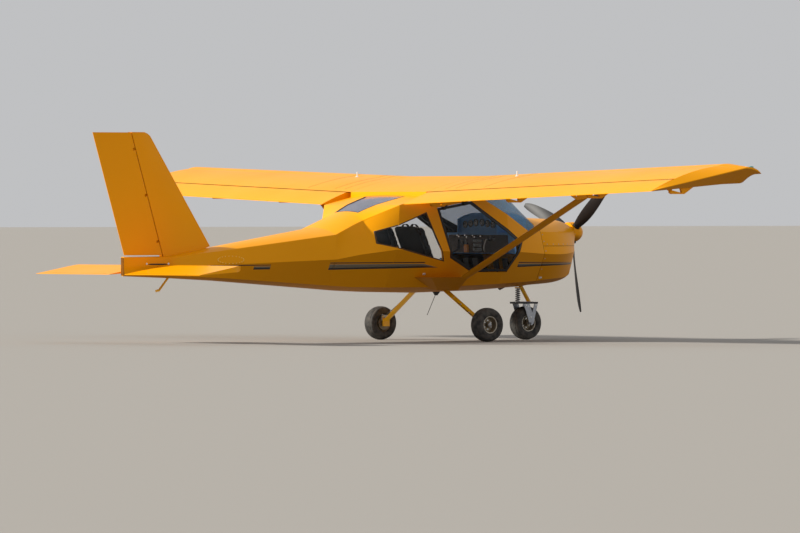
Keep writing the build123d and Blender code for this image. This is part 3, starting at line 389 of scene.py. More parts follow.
# Black rubber of seals, gaskets, knobs and grips; also black painted shade in the tail's slots and
# the vents' holes.
SEAL_AND_HOLE_SHADE = Finish(
    "door_seal", "door_seal", (0.010, 0.010, 0.011, 1), (0.03, 0.03, 0.03, 1), rough=0.5,
    stain_size=0.05)
RUBBER = Finish(
    "tyre_rubber", "tyre_rubber", (0.020, 0.020, 0.021, 1), (0.125, 0.115, 0.100, 1), rough=0.78,
    stain_size=0.05, stain_amount=0.8, grain_size=0.0015, bump=0.35)
ALLOY = Finish(
    "wheel_alloy", "wheel_alloy", (0.27, 0.22, 0.15, 1), (0.12, 0.095, 0.06, 1), metal=0.5,
    stain_size=0.03, stain_amount=0.6)
RIM_LIP = Finish(
    "rim_lip", "wheel_alloy", (0.72, 0.68, 0.58, 1), (0.50, 0.46, 0.38, 1), rough=0.35, metal=0.3,
    stain_size=0.02, stain_amount=0.4)
FORK = Finish(
    "fork_grey", "fork_grey", (0.50, 0.53, 0.58, 1), (0.30, 0.32, 0.35, 1), rough=0.34, metal=0.6,
    stain_size=0.04, stain_amount=0.5)
CHROME = Finish(
    "bright_metal", "fork_grey", (0.78, 0.79, 0.80, 1), (0.60, 0.60, 0.60, 1), rough=0.16,
    metal=1.0, stain_size=0.02)
WHITE_CAP = Finish(
    "white_plastic", "fork_grey", (0.80, 0.80, 0.78, 1), (0.62, 0.61, 0.58, 1), stain_size=0.03)
BLACK_STEEL = Finish(
    "black_steel", "steel_black", (0.014, 0.014, 0.015, 1), (0.05, 0.045, 0.04, 1), rough=0.42,
    stain_size=0.04)
BARE_STEEL = Finish(
    "bare_steel", "bare_steel", (0.42, 0.42, 0.43, 1), (0.26, 0.25, 0.25, 1), rough=0.32,
    metal=0.9, stain_size=0.03)
BURNT_STEEL = Finish(
    "burnt_steel", "steel_black", (0.10, 0.075, 0.055, 1), (0.02, 0.018, 0.018, 1), rough=0.5,
    metal=0.8, stain_size=0.04, stain_amount=0.8)
ENGINE = Finish(
    "engine_metal", "engine_metal", (0.10, 0.10, 0.11, 1), (0.06, 0.06, 0.06, 1), rough=0.6,
    metal=0.4)
BLADE = Finish(
    "blade_composite", "blade_composite", (0.014, 0.014, 0.016, 1), (0.030, 0.029, 0.030, 1),
    rough=0.5, grain_size=0.002, specular=0.3)
PANEL_BLUE = Finish(
    "panel_cover", "panel_grey", (0.105, 0.30, 0.64, 1), (0.15, 0.38, 0.74, 1), rough=0.55,
    stain_size=0.15, stain_amount=0.8, grain_size=0.002, bump=0.3)
FASCIA = Finish(
    "panel_fascia", "panel_grey", (0.045, 0.034, 0.026, 1), (0.09, 0.07, 0.055, 1), rough=0.6,
    stain_size=0.10, stain_amount=0.8, grain_size=0.002, bump=0.3)
DIAL_BLACK = Finish(
    "dial_face", "panel_grey", (0.008, 0.008, 0.009, 1), (0.02, 0.02, 0.02, 1), rough=0.25,
    stain_size=0.02)
SEAT_CLOTH = Finish(
    "seat_fabric", "seat_fabric", (0.020, 0.020, 0.023, 1), (0.05, 0.048, 0.05, 1), rough=0.88,
    bump=0.6, stain_size=0.12, woven=0.0012)
STRAP = Finish(
    "strap_webbing", "seat_fabric", (0.012, 0.012, 0.014, 1), (0.03, 0.03, 0.034, 1), rough=0.8,
    bump=0.6, stain_size=0.05, woven=0.0008)
FLOOR_GREY = Finish(
    "floor_grey", "floor_grey", (0.055, 0.050, 0.045, 1), (0.10, 0.09, 0.08, 1), rough=0.8,
    stain_size=0.2, stain_amount=0.8)
STRIPE_BLACK = Finish(
    "stripe_black", "door_seal", (0.008, 0.007, 0.007, 1), (0.02, 0.016, 0.012, 1), coat=0.1,
    stain_size=0.1)
STRIPE_GREY = Finish(
    "stripe_grey", "fork_grey", (0.15, 0.122, 0.078, 1), (0.10, 0.080, 0.050, 1), coat=0.1,
    stain_size=0.2)
# Dark amber of seams and joints; the tail cone's end plate also wears it as painted shade.
SEAM_AND_SHADE = Finish(
    "seam_shadow", "yellow_paint", (0.22, 0.075, 0.0, 1), (0.10, 0.035, 0.0, 1), rough=0.6,
    specular=0.1, stain_size=0.05, stain_amount=0.6)
# Yellow paint of the rivet heads, made lighter than the skin's as a painted highlight on the domes.
RIVET_WITH_HIGHLIGHT = Finish(
    "rivet_paint", "yellow_paint", (1.0, 0.62, 0.10, 1), (0.9, 0.5, 0.06, 1), rough=0.3, coat=0.5,
    stain_size=0.02)
DAMPER = Finish(
    "damper_steel", "steel_black", (0.34, 0.34, 0.35, 1), (0.20, 0.19, 0.19, 1), rough=0.35,
    metal=0.7, stain_size=0.02)
LATCH_ORANGE = Finish(
    "latch_orange", "leg_yellow", (0.85, 0.22, 0.008, 1), (0.9, 0.5, 0.02, 1), stain_size=0.03,
    stain_amount=0.7)
RED_LENS = lens("red_lens", (0.70, 0.02, 0.02, 1), (0.4, 0.01, 0.01, 1))
GREEN_LENS = lens("green_lens", (0.10, 0.45, 0.36, 1), (0.05, 0.3, 0.25, 1))
WHITE_LENS = lens("white_lens", (0.85, 0.87, 0.88, 1), (0.70, 0.74, 0.76, 1))

SLOT_FINISH = {
    "yellow_paint": SKIN, "leg_yellow": LEG_YELLOW_AND_LIGHT, "clear_pane": PANE, "door_seal": SEAL_AND_HOLE_SHADE,
    "tyre_rubber": RUBBER, "wheel_alloy": ALLOY, "fork_grey": FORK, "steel_black": BLACK_STEEL,
    "bare_steel": BARE_STEEL, "engine_metal": ENGINE, "blade_composite": BLADE,
    "panel_grey": PANEL_BLUE, "seat_fabric": SEAT_CLOTH, "floor_grey": FLOOR_GREY,
}
NODE_FINISH = {
    "cabin_shell": YELLOW, "windshield": WINDSHIELD, "skylight": SKYLIGHT,
    "exhaust_pipe": BURNT_STEEL, "nose_shock": DAMPER,
}


# Surfaces


@dataclass
class Grid:
    """A surface on a grid of rows by columns, closed round its columns or rows if asked."""

    points: np.ndarray
    wrap_cols: bool = False
    wrap_rows: bool = False

    def faces(self) -> np.ndarray:
        """Four-cornered faces: each joins a point to the next ones along its row and column.

        Returns:
            An array of corner numbers, one face a row.
        """
        rows, cols = self.points.shape[:2]
        i = np.arange(rows if self.wrap_rows else rows - 1)[:, None]
        j = np.arange(cols if self.wrap_cols else cols - 1)[None, :]
        next_i = (i + 1) % rows
        next_j = (j + 1) % cols
        corners = (i * cols + j, i * cols + next_j, next_i * cols + next_j, next_i * cols + j)
        return np.stack([np.broadcast_to(c, (i.size, j.size)).ravel() for c in corners], axis=1)

    def other_side(self) -> "Grid":
        """The same surface on the aircraft's other side."""
        return Grid(self.points * np.array([1.0, -1.0, 1.0]), self.wrap_cols, self.wrap_rows)


def both(grids: Sequence[Grid]) -> list[Grid]:
    """The surfaces, and then the same ones on the other side."""
    return [*grids, *(grid.other_side() for grid in grids)]


def full_turn(count: int) -> np.ndarray:
    """Angles of evenly spaced points round a circle."""
    return np.linspace(0, 2 * math.pi, count, endpoint=False)


def unit(rows: np.ndarray) -> np.ndarray:
    """Each row divided by its own length."""
    return rows / np.linalg.norm(rows, axis=-1, keepdims=True)


def bent(value: np.ndarray, power: float) -> np.ndarray:
    """Raises the size of each value to the power and keeps its sign."""
    return np.sign(value) * np.abs(value) ** power


def bump_at(value: np.ndarray, place: float, half: float, power: int = 2) -> np.ndarray:
    """A smooth bump of height one at a place: exp(-((value - place) / half) ** power)."""
    return np.exp(-(((value - place) / half) ** power))


def rail(x: Row, y: Row, z: Row) -> np.ndarray:
    """Points of a path, one a row, from coordinates that are rows or single numbers."""
    return np.stack(np.broadcast_arrays(x, y, z), 1)


def square_to(axis: Place) -> tuple[np.ndarray, np.ndarray, np.ndarray]:
    """Three unit directions square to each other, the last one along the axis.

    Args:
        axis: Direction of the axis.

    Returns:
        Two directions across the axis, and the axis's own.
    """
    along = unit(np.asarray(axis, float))
    first = unit(np.cross(np.eye(3)[np.argmin(np.abs(along))], along))
    return first, np.cross(along, first), along


def revolve(
    profile: Sequence[tuple[float, float]] | np.ndarray, centre: Place, axis: Place,
    steps: int = 32, ring: bool = False,
) -> Grid:
    """Turns a profile about an axis: centre + axis * height + radius * (u cos t + v sin t).

    Args:
        profile: Pairs of radius and height along the axis.
        centre: Point that heights are measured from.
        axis: Direction of the axis.
        steps: Points round the axis.
        ring: Whether the profile closes on itself, as a tyre's does.

    Returns:
        The turned surface.
    """
    radius, height = np.asarray(profile, float).T
    u, v, along = square_to(axis)
    t = full_turn(steps)
    across = np.cos(t)[:, None] * u + np.sin(t)[:, None] * v
    points = np.asarray(centre) + height[:, None, None] * along + radius[:, None, None] * across
    return Grid(points, wrap_cols=True, wrap_rows=ring)


def torus(
    radius: float, wire: float, centre: Place, axis: Place, steps: int, wire_steps: int
) -> Grid:
    """A ring of round wire: (radius + wire cos t, wire sin t) turned about an axis.

    Args:
        radius: The ring's radius to the middle of the wire.
        wire: Radius of the wire.
        centre: Middle of the ring.
        axis: Direction of the ring's axis.
        steps: Points round the ring.
        wire_steps: Points round the wire.

    Returns:
        The closed ring.
    """
    t = full_turn(wire_steps)
    section = np.stack([radius + wire * np.cos(t), wire * np.sin(t)], 1)
    return revolve(section, centre, axis, steps, True)


def disc(radius: float, thickness: float, centre: Place, axis: Place, steps: int = 16) -> Grid:
    """A closed round plate with a small bevel.

    Args:
        radius: Radius of the plate.
        thickness: Its thickness.
        centre: Middle of its back.
        axis: Direction from its back to its face.
        steps: Points round it.

    Returns:
        The plate.
    """
    edge = min(0.25 * thickness, 0.2 * radius)
    profile = [
        (0, 0), (radius, 0), (radius, thickness - edge), (radius - edge, thickness), (0, thickness)]
    return revolve(profile, centre, axis, steps)


def bolt(centre: Place, axis: Place, washer: float, head: float, height: float) -> list[Grid]:
    """A thin washer and a six-sided head.

    Args:
        centre: Middle of the washer's back.
        axis: Direction in which the bolt stands out.
        washer: Radius of the washer.
        head: Radius of the head, over its corners.
        height: Height of the head, from the washer's back.

    Returns:
        The washer and the head.
    """
    return [disc(washer, WASHER_THICK, centre, axis, 14), disc(head, height, centre, axis, 6)]


def dome(radius: float, height: float, centre: Place, axis: Place, steps: int = 10) -> Grid:
    """A closed rivet or button head: a quarter ellipse turned about its axis.

    Args:
        radius: Radius of the head.
        height: Its height; it also sinks in by 0.3 of that.
        centre: Middle of the head's foot.
        axis: Direction in which it stands out.
        steps: Points round it.

    Returns:
        The head.
    """
    t = np.linspace(0, math.pi / 2, 5)
    profile = [(0, -0.3 * height)] + [(radius * math.cos(a), height * math.sin(a)) for a in t]
    return revolve(profile, centre, axis, steps)


def capped(path: np.ndarray, rings: np.ndarray) -> Grid:
    """Closes a row of rings on the end points of their path."""
    first, last = (np.repeat(path[k][None, None], rings.shape[1], axis=1) for k in (0, -1))
    return Grid(np.concatenate([first, rings, last]), wrap_cols=True)


def sweep(path: np.ndarray, radius: float | np.ndarray, steps: int = 12, flat: float = 1) -> Grid:
    """Carries a circle or ellipse along a path, and closes both ends on the path's end points.

    Each ring is path + radius * (u cos t + flat * v sin t), with u and v square to the path.

    Args:
        path: Points of the path, one a row.
        radius: Radius, one for all or one a point.
        steps: Points round the path.
        flat: Height of the section as a share of its width.

    Returns:
        The closed tube.
    """
    run = unit(np.gradient(path, axis=0))
    u = unit(np.cross(run, square_to(run.mean(axis=0) + 1e-9)[0]))
    v = np.cross(run, u)
    t = full_turn(steps)
    size = np.broadcast_to(np.asarray(radius, float), len(path))[:, None, None]
    around = u[:, None] * np.cos(t)[None, :, None] + flat * v[:, None] * np.sin(t)[None, :, None]
    return capped(path, path[:, None] + size * around)


def spline(points: Sequence[Point], count: int = 40) -> np.ndarray:
    """Smooth path through points: cubic pieces with the slopes of their neighbours.

    Args:
        points: Points that the path goes through.
        count: Points on the path.

    Returns:
        The path, one point a row.
    """
    p = np.asarray(points, float)
    slope = np.gradient(p, axis=0)
    at = np.linspace(0, len(p) - 1, count)
    k = np.minimum(at.astype(int), len(p) - 2)
    s = (at - k)[:, None]
    return (
        (2 * s**3 - 3 * s**2 + 1) * p[k] + (s**3 - 2 * s**2 + s) * slope[k]
        + (3 * s**2 - 2 * s**3) * p[k + 1] + (s**3 - s**2) * slope[k + 1])


def rounded_block(
    centre: Point, half: Point, power: float = 0.25, steps: tuple[int, int] = (32, 20),
    lean_deg: float = 0.0,
) -> Grid:
    """A block with round edges: each coordinate is half * sign(c) * |c| ** power on a sphere.

    Args:
        centre: Middle of the block.
        half: Half sizes along x, y and z.
        power: Roundness, from near 0 for a sharp box to 1 for an ellipsoid.
        steps: Points round the block and from pole to pole.
        lean_deg: Turn about the y axis, positive leans the top aft.

    Returns:
        The closed block.
    """
    u = full_turn(steps[0])[None, :]
    v = np.linspace(-math.pi / 2, math.pi / 2, steps[1])[:, None]
    level = bent(np.cos(v), power)
    ball = np.broadcast_arrays(
        level * bent(np.cos(u), power), level * bent(np.sin(u), power), bent(np.sin(v), power))
    a = math.radians(lean_deg)
    turn = np.array([[math.cos(a), 0, math.sin(a)], [0, 1, 0], [-math.sin(a), 0, math.cos(a)]])
    points = np.stack(ball, axis=-1) * np.asarray(half)
    return Grid(points @ turn + np.asarray(centre), wrap_cols=True)


def band(low: np.ndarray, high: np.ndarray, across: int = 2) -> Grid:
    """Open strip between two paths of as many points: straight lines join them."""
    share = np.linspace(0, 1, across)[:, None, None]
    return Grid(low[None] * (1 - share) + high[None] * share)


# Pieces


def put_object(name: str, data: bpy.types.ID) -> bpy.types.Object:
    """Puts a mesh, a lamp or a camera into the scene as an object.

    Args:
        name: The object's name.
        data: What it shows.

    Returns:
        The new object.
    """
    made = bpy.data.objects.new(name, data)
    bpy.context.scene.collection.objects.link(made)
    return made


def make_piece(
    name: str, grids: Sequence[Grid], finish: Finish, body: Body = Body.AIRFRAME,
    sharp_deg: float = 35.0,
) -> bpy.types.Object:
    """Makes one object of all grids, with its doubles merged and its faces outwards.

    Args:
        name: The object's name.
        grids: Its surfaces, measured from the main axle.
        finish: The finish that it wears.
        body: The body that it rides on.
        sharp_deg: Angle between faces from which their edge stays sharp.

    Returns:
        The new object, at the frame's origin.
    """
    counts = [grid.points.shape[0] * grid.points.shape[1] for grid in grids]
    starts = np.concatenate([[0], np.cumsum(counts)[:-1]]).astype(int)
    points = np.concatenate([grid.points.reshape(-1, 3) for grid in grids]) + (DATUM_X, 0, 0)
    faces = np.concatenate([grid.faces() + start for grid, start in zip(grids, starts)])
    mesh = bpy.data.meshes.new(name)
    mesh.from_pydata(points.tolist(), [], faces.tolist())
    work = bmesh.new()
    work.from_mesh(mesh)
    bmesh.ops.remove_doubles(work, verts=work.verts, dist=1e-6)
    bmesh.ops.dissolve_degenerate(work, edges=work.edges, dist=1e-7)
    bmesh.ops.recalc_face_normals(work, faces=work.faces)
    work.to_mesh(mesh)
    work.free()
    mesh.shade_smooth()
    mesh.set_sharp_from_angle(angle=math.radians(sharp_deg))
    mesh.materials.append(finish.material())
    made = put_object(name, mesh)
    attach(made, body.value)
    LOG.info("built %s on %s, %d faces", name, body.value, len(mesh.polygons))
    return made


def bake(piece: bpy.types.Object) -> bpy.types.Mesh:
    """Replaces a piece's mesh by what its modifiers make of it, and removes them.

    Args:
        piece: The piece.

    Returns:
        Its new mesh.
    """
    view = bpy.context.evaluated_depsgraph_get()
    mesh = bpy.data.meshes.new_from_object(piece.evaluated_get(view))
    piece.modifiers.clear()
    piece.data = mesh
    mesh.name = piece.name
    return mesh


def read_points(mesh: bpy.types.Mesh) -> np.ndarray:
    """Reads where a mesh's points are.

    Args:
        mesh: The mesh.

    Returns:
        The points, one a row.
    """
    flat = np.empty(3 * len(mesh.vertices))
    mesh.vertices.foreach_get("co", flat)
    return flat.reshape(-1, 3)


def write_points(mesh: bpy.types.Mesh, points: np.ndarray) -> None:
    """Moves a mesh's points to new places."""
    mesh.vertices.foreach_set("co", points.ravel())
    mesh.update()


def lay_on(piece: bpy.types.Object, target: bpy.types.Object, way: Ahead, thick: float) -> None:
    """Lays an open strip onto a node, straight along one axis, and gives it thickness.

    Args:
        piece: The strip, held off the surface.
        target: The node's object that carries it.
        way: The way that the strip travels.
        thick: Thickness of the strip; half of it sinks in.
    """
    axis, positive = way.value
    wrap = piece.modifiers.new("lay", "SHRINKWRAP")
    wrap.target = target
    wrap.wrap_method = "PROJECT"
    wrap.use_project_y = axis == 1
    wrap.use_project_z = axis == 2
    wrap.use_positive_direction = positive
    wrap.use_negative_direction = not positive
    bake(piece)
    wall = piece.modifiers.new("wall", "SOLIDIFY")
    wall.thickness = thick
    wall.offset = 0.0


def touch(node: bpy.types.Object, starts: Sequence[Place], way: Point) -> np.ndarray:
    """Where straight rays from a few fixing points meet a node, and its normals there.

    Args:
        node: The node's object.
        starts: Ray starts measured from the main axle, one a row.
        way: Direction of the rays.

    Returns:
        One row a hit: the point, measured from the main axle, and the outward normal.
    """
    tree = BVHTree.FromObject(node, bpy.context.evaluated_depsgraph_get())
    shift = np.array([DATUM_X, 0, 0])
    found = []
    for start in np.asarray(starts) + shift:
        spot, normal, _, _ = tree.ray_cast(Vector(start), Vector(way))
        if spot is not None:
            outward = normal if normal.dot(Vector(way)) < 0 else -normal
            found.append((np.array(spot) - shift, np.array(outward)))
    return np.array(found).reshape(-1, 2, 3)


def studs(
    hits: np.ndarray, radius: float, height: float, steps: int = 10, lift: float = 0.0
) -> list[Grid]:
    """One dome at each place where a ray met a node.

    Args:
        hits: Points and normals that touch returned.
        radius: Radius of a dome.
        height: Its height.
        steps: Points round it.
        lift: How far it stands off the surface.

    Returns:
        The domes.
    """
    return [dome(radius, height, spot + lift * out, out, steps) for spot, out in hits]


# Sub-assemblies


@dataclass
class Stripes:
    """Black and grey stripes along both sides, below the windows.

    Between two rails, interpolated along the side, run a black line at the top, a grey band and
    a black edge below it. All three shrink together where the rails are nearer than full. The
    front end of the middle run draws in to a point.
    """

    stations: tuple[float, ...] = (-3.0, -2.29, -1.61, -0.5, 0.70, 1.64)
    top: tuple[float, ...] = (0.797, 0.800, 0.819, 0.823, 0.818, 0.811)
    bottom: tuple[float, ...] = (0.745, 0.752, 0.744, 0.764, 0.764, 0.790)
    line: float = 0.010
    edge: float = 0.018
    gap: float = 0.019
    full: float = 0.054
    thick: float = 0.0009
    step: float = 0.02
    shortest: float = 0.01
    lines: Pairs = ((-2.985, -2.29), (-1.610, -0.545), (0.700, 1.64))
    bands: Pairs = ((-2.48, -2.29), (-1.610, -0.375), (0.700, 1.64))
    taper: tuple[float, float] = (-0.56, -0.375)
    narrowest: float = 0.02
    nodes: tuple[tuple[str, float, float], ...] = (
        ("tail_cone", -3.9, -1.5505), ("cabin_shell", -1.5495, 1.0592),
        ("cowl_lower", 1.0625, 1.64))

    def build(self, nodes: Nodes) -> None:
        """Lays every stripe onto the node that carries it.

        Args:
            nodes: CAD node objects by name.
        """
        for side in Side:
            for name, low, high in self.nodes:
                black = [
                    *self._strips(side, StripePart.LINE, low, high),
                    *self._strips(side, StripePart.EDGE, low, high)]
                grey = self._strips(side, StripePart.BAND, low, high)
                for finish, strips in ((STRIPE_BLACK, black), (STRIPE_GREY, grey)):
                    if strips:
                        piece = make_piece(f"{finish.name}_{name}_{side.label}", strips, finish)
                        lay_on(piece, nodes[name], side.ahead, self.thick)

    def _strips(self, side: Side, part: StripePart, low: float, high: float) -> list[Grid]:
        """Strips of one part of the stripes between two stations.

        Args:
            side: Side of the aircraft.
            part: The part of the stripes.
            low: Rear station.
            high: Front station.

        Returns:
            One strip for each run that reaches between the stations.
        """
        runs = self.lines if part is StripePart.LINE else self.bands
        cuts = [(max(start, low), min(end, high)) for start, end in runs]
        return [
            self._strip(side, part, start, end) for start, end in cuts
            if end - start >= self.shortest]

    def _strip(self, side: Side, part: StripePart, start: float, end: float) -> Grid:
        """One strip of the stripes, held beside the body.

        Args:
            side: Side of the aircraft.
            part: The part of the stripes.
            start: Rear station.
            end: Front station.

        Returns:
            The open strip.
        """
        x = np.linspace(start, end, max(int((end - start) / self.step), 2))
        top = np.interp(x, self.stations, self.top)
        bottom = np.interp(x, self.stations, self.bottom)
        scale = np.minimum((top - bottom) / self.full, 1.0)
        low, high = {
            StripePart.LINE: (top - self.line * scale, top),
            StripePart.BAND: (bottom + self.edge * scale, top - self.gap * scale),
            StripePart.EDGE: (bottom, bottom + self.edge * scale),
        }[part]
        thins, ends = self.taper
        if part is not StripePart.LINE and end <= ends + 1e-6 and start < thins:
            share = np.clip((ends - x) / (ends - thins), self.narrowest, 1)
            low = bottom + (low - bottom) * share
            high = bottom + (high - bottom) * share
        y = side.value * BESIDE
        return band(rail(x, y, low), rail(x, y, high), 3)


@dataclass
class Seams:
    """Wing and cowl seams, the cowl's fasteners, the tail's hatches and slots, the side vents."""

    wing_ribs: tuple[float, ...] = (0.86, 1.03, 1.50)
    rib_run: tuple[float, float] = (-0.50, 0.43)
    seam_half: float = 0.0035
    thick: float = 0.0010
    joint_x: float = 1.0605
    joint_row: tuple[float, ...] = (0.556, 0.380, 0.618, 0.525, 0.900, 0.450, 1.130, 1.287)
    joint_bead: float = 0.0016
    split_run: tuple[float, float] = (1.066, 1.70)
    split_z: tuple[float, float] = (0.9815 - 0.0006, 0.9815 + 0.0026)
    fastener: tuple[float, float] = (0.0055, 0.0022)
    fastener_row: tuple[float, float, int, float] = (1.12, 1.64, 7, 1.000)
    fastener_x: float = 1.082
    fasteners_above: tuple[float, ...] = (1.03, 1.10)
    fasteners_below: tuple[float, ...] = (0.66, 0.74, 0.85, 0.93)
    hatch: tuple[float, float, float, float] = (-2.75, 0.850, 0.160, 0.044)
    hatch_thick: float = 0.0020
    rivets: int = 22
    rivet: tuple[float, float] = (0.0056, 0.0040)
    rivet_inset: tuple[float, float] = (0.014, 0.006)
    rivet_lift: float = 0.0008
    slot_run: tuple[float, float, float] = (-3.69, -3.475, 0.808)
    slot_half: float = 0.007
    slot_oval: float = 0.51
    slot_thick: float = 0.0016
    slot_beside: float = 0.6
    slot_cap: tuple[float, float] = (0.011, 0.008)
    slot_cap_out: tuple[float, float, float] = (-0.015, 0.012, 0.004)
    vents: Pairs = ((-0.515, 0.697), (1.10, 0.650))
    vent_step: float = 0.008
    vent_ring: tuple[float, float] = (0.012, 0.006)
    vent_hole: tuple[float, float] = (0.005, 0.0068)

    def build(self, nodes: Nodes) -> None:
        """Builds all seams and small fittings of the skins.

        Args:
            nodes: CAD node objects by name.
        """
        self._wing_seams(nodes)
        self._cowl_joint()
        for side in Side:
            self._cowl_split(nodes, side)
            self._hatch(nodes, side)
            self._tail_slot(nodes, side)
            self._vents(nodes, side)

    def _wing_seams(self, nodes: Nodes) -> None:
        """Thin dark seams along the ribs of both wings, laid down onto them.

        Args:
            nodes: CAD node objects by name.
        """
        x = np.linspace(*self.rib_run, 60)
        for name, sign in (("wing_left", 1), ("wing_right", -1)):
            strips = [
                band(*(
                    rail(x, sign * rib + shift, ABOVE)
                    for shift in (-self.seam_half, self.seam_half)))
                for rib in self.wing_ribs]
            lay_on(make_piece(f"{name}_seams", strips, SEAM_AND_SHADE), nodes[name], Ahead.DOWN, self.thick)

    def _cowl_joint(self) -> None:
        """Dark bead round the body where the cowl meets the cabin.

        The ring is the body's own section there: straight sides through chine, waist and
        crease, an arc over the deck and one under the belly. The bead's points are
        ring + bead * (outward cos t + forward sin t).
        """
        belly, chine_w, chine_z, waist_w, waist_z, crease_w, crease_z, crown = self.joint_row
        sides = [(chine_w, chine_z), (waist_w, waist_z), (crease_w, crease_z)]
        deck = self._arc(crease_w, crease_z, crown, 30)
        under = self._arc(chine_w, chine_z, belly, 24)
        ring = sides[:-1] + deck + [(-y, z) for y, z in sides[-2::-1]] + under[::-1][1:-1]
        path = np.array([(self.joint_x, y, z) for y, z in [*ring, ring[0]]])
        forward = np.array([1.0, 0.0, 0.0])
        out = np.cross(unit(np.gradient(path, axis=0)), forward)
        t = full_turn(8)[None, :, None]
        tube = path[:, None] + self.joint_bead * (out[:, None] * np.cos(t) + forward * np.sin(t))
        make_piece("cowl_joint", [Grid(tube[:-1], True, True)], SEAM_AND_SHADE)

    @staticmethod
    def _arc(half: float, edge_z: float, middle_z: float, count: int) -> list[tuple[float, float]]:
        """Points (y, z) of the arc from half, over middle_z at y = 0, to -half.

        Args:
            half: Half width of the arc.
            edge_z: Height of both ends.
            middle_z: Height in the middle.
            count: Points on the arc.

        Returns:
            The points from port to starboard.
        """
        rise = middle_z - edge_z
        radius = (half**2 + rise**2) / (2 * rise)
        reach = math.asin(half / abs(radius))
        t = np.linspace(reach, -reach, count)
        centre = middle_z - radius
        return [(abs(radius) * math.sin(a), centre + radius * math.cos(a)) for a in t]

    def _cowl_split(self, nodes: Nodes, side: Side) -> None:
        """Seam along the cowl's split with fasteners above it and along the cabin joint.

        Args:
            nodes: CAD node objects by name.
            side: Side of the aircraft.
        """
        x = np.linspace(*self.split_run, 50)
        y = side.value * BESIDE
        strip = band(*(rail(x, y, z) for z in self.split_z))
        seam = make_piece(f"cowl_split_{side.label}", [strip], SEAM_AND_SHADE)
        lay_on(seam, nodes["cowl_upper"], side.ahead, self.thick)
        *row, row_z = self.fastener_row
        column, foot = (
            rail(self.fastener_x, y, z) for z in (self.fasteners_above, self.fasteners_below))
        upper = np.concatenate([rail(np.linspace(*row), y, row_z), column])
        heads = []
        for name, starts in (("cowl_upper", upper), ("cowl_lower", foot)):
            heads += studs(touch(nodes[name], starts, side.inward), *self.fastener)
        make_piece(f"cowl_fasteners_{side.label}", heads, BARE_STEEL)

    @staticmethod
    def _oval(share: np.ndarray) -> np.ndarray:
        """Height of an oval over its length: (1 - share ** 4) ** 0.5, blunt at both ends."""
        return np.sqrt(np.clip(1 - share**4, 0.02, 1))

    def _hatch(self, nodes: Nodes, side: Side) -> None:
        """Oval inspection hatch on the tail's side, held by rivets round its edge.

        Args:
            nodes: CAD node objects by name.
            side: Side of the aircraft.
        """
        middle_x, middle_z, half_long, half_high = self.hatch
        share = np.sin(np.linspace(-math.pi / 2, math.pi / 2, 33))
        x = middle_x + half_long * share
        y = side.value * BESIDE
        half = half_high * self._oval(share)
        plate = band(rail(x, y, middle_z - half), rail(x, y, middle_z + half), 12)
        piece = make_piece(f"tail_hatch_{side.label}", [plate], SKIN)
        lay_on(piece, nodes["tail_cone"], side.ahead, self.hatch_thick)
        turn = full_turn(self.rivets)
        inset_x, inset_z = self.rivet_inset
        rays = rail(
            middle_x + (half_long - inset_x) * np.cos(turn), y,
            middle_z + (half_high - inset_z) * np.sin(turn))
        hits = touch(nodes["tail_cone"], rays, side.inward)
        heads = studs(hits, *self.rivet, lift=self.rivet_lift)
        make_piece(f"tail_rivets_{side.label}", heads, RIVET_WITH_HIGHLIGHT)

    def _tail_slot(self, nodes: Nodes, side: Side) -> None:
        """Painted shade on the tailplane control arm's slot, with a pale end fitting at both ends.

        Args:
            nodes: CAD node objects by name.
            side: Side of the aircraft.
        """
        rear, front, z = self.slot_run
        x = np.linspace(rear, front, 24)
        y = side.value * self.slot_beside
        share = (x - (rear + front) / 2) / (self.slot_oval * (front - rear))
        half = self.slot_half * self._oval(share)
        slot = band(rail(x, y, z - half), rail(x, y, z + half), 3)
        # Painted shade: a black strip on the skin stands for the slot's dark opening.
        piece = make_piece(f"tail_slot_{side.label}", [slot], SEAL_AND_HOLE_SHADE)
        lay_on(piece, nodes["tail_cone"], side.ahead, self.slot_thick)
        behind, before, up = self.slot_cap_out
        rays = [(rear + behind, y, z + up), (front + before, y, z + up)]
        caps = studs(touch(nodes["tail_cone"], rays, side.inward), *self.slot_cap, steps=14)
        make_piece(f"tail_caps_{side.label}", caps, WHITE_CAP)

    def _vents(self, nodes: Nodes, side: Side) -> None:
        """Small oval vents low on the side: a pale ring round a black middle of painted shade.

        Args:
            nodes: CAD node objects by name.
            side: Side of the aircraft.
        """
        rings = []
        holes = []
        for (x, z), name in zip(self.vents, ("cabin_shell", "cowl_lower")):
            for spot, out in touch(nodes[name], [(x, side.value * BESIDE, z)], side.inward):
                for step in (-self.vent_step, self.vent_step):
                    centre = spot + (step, 0, 0)
                    rings.append(dome(*self.vent_ring, centre, out, 16))
                    holes.append(disc(*self.vent_hole, centre, out, 12))
        make_piece(f"side_vents_{side.label}", rings, WHITE_CAP)
        # Painted shade: black discs stand for the vents' dark openings.
        make_piece(f"side_vent_holes_{side.label}", holes, SEAL_AND_HOLE_SHADE)


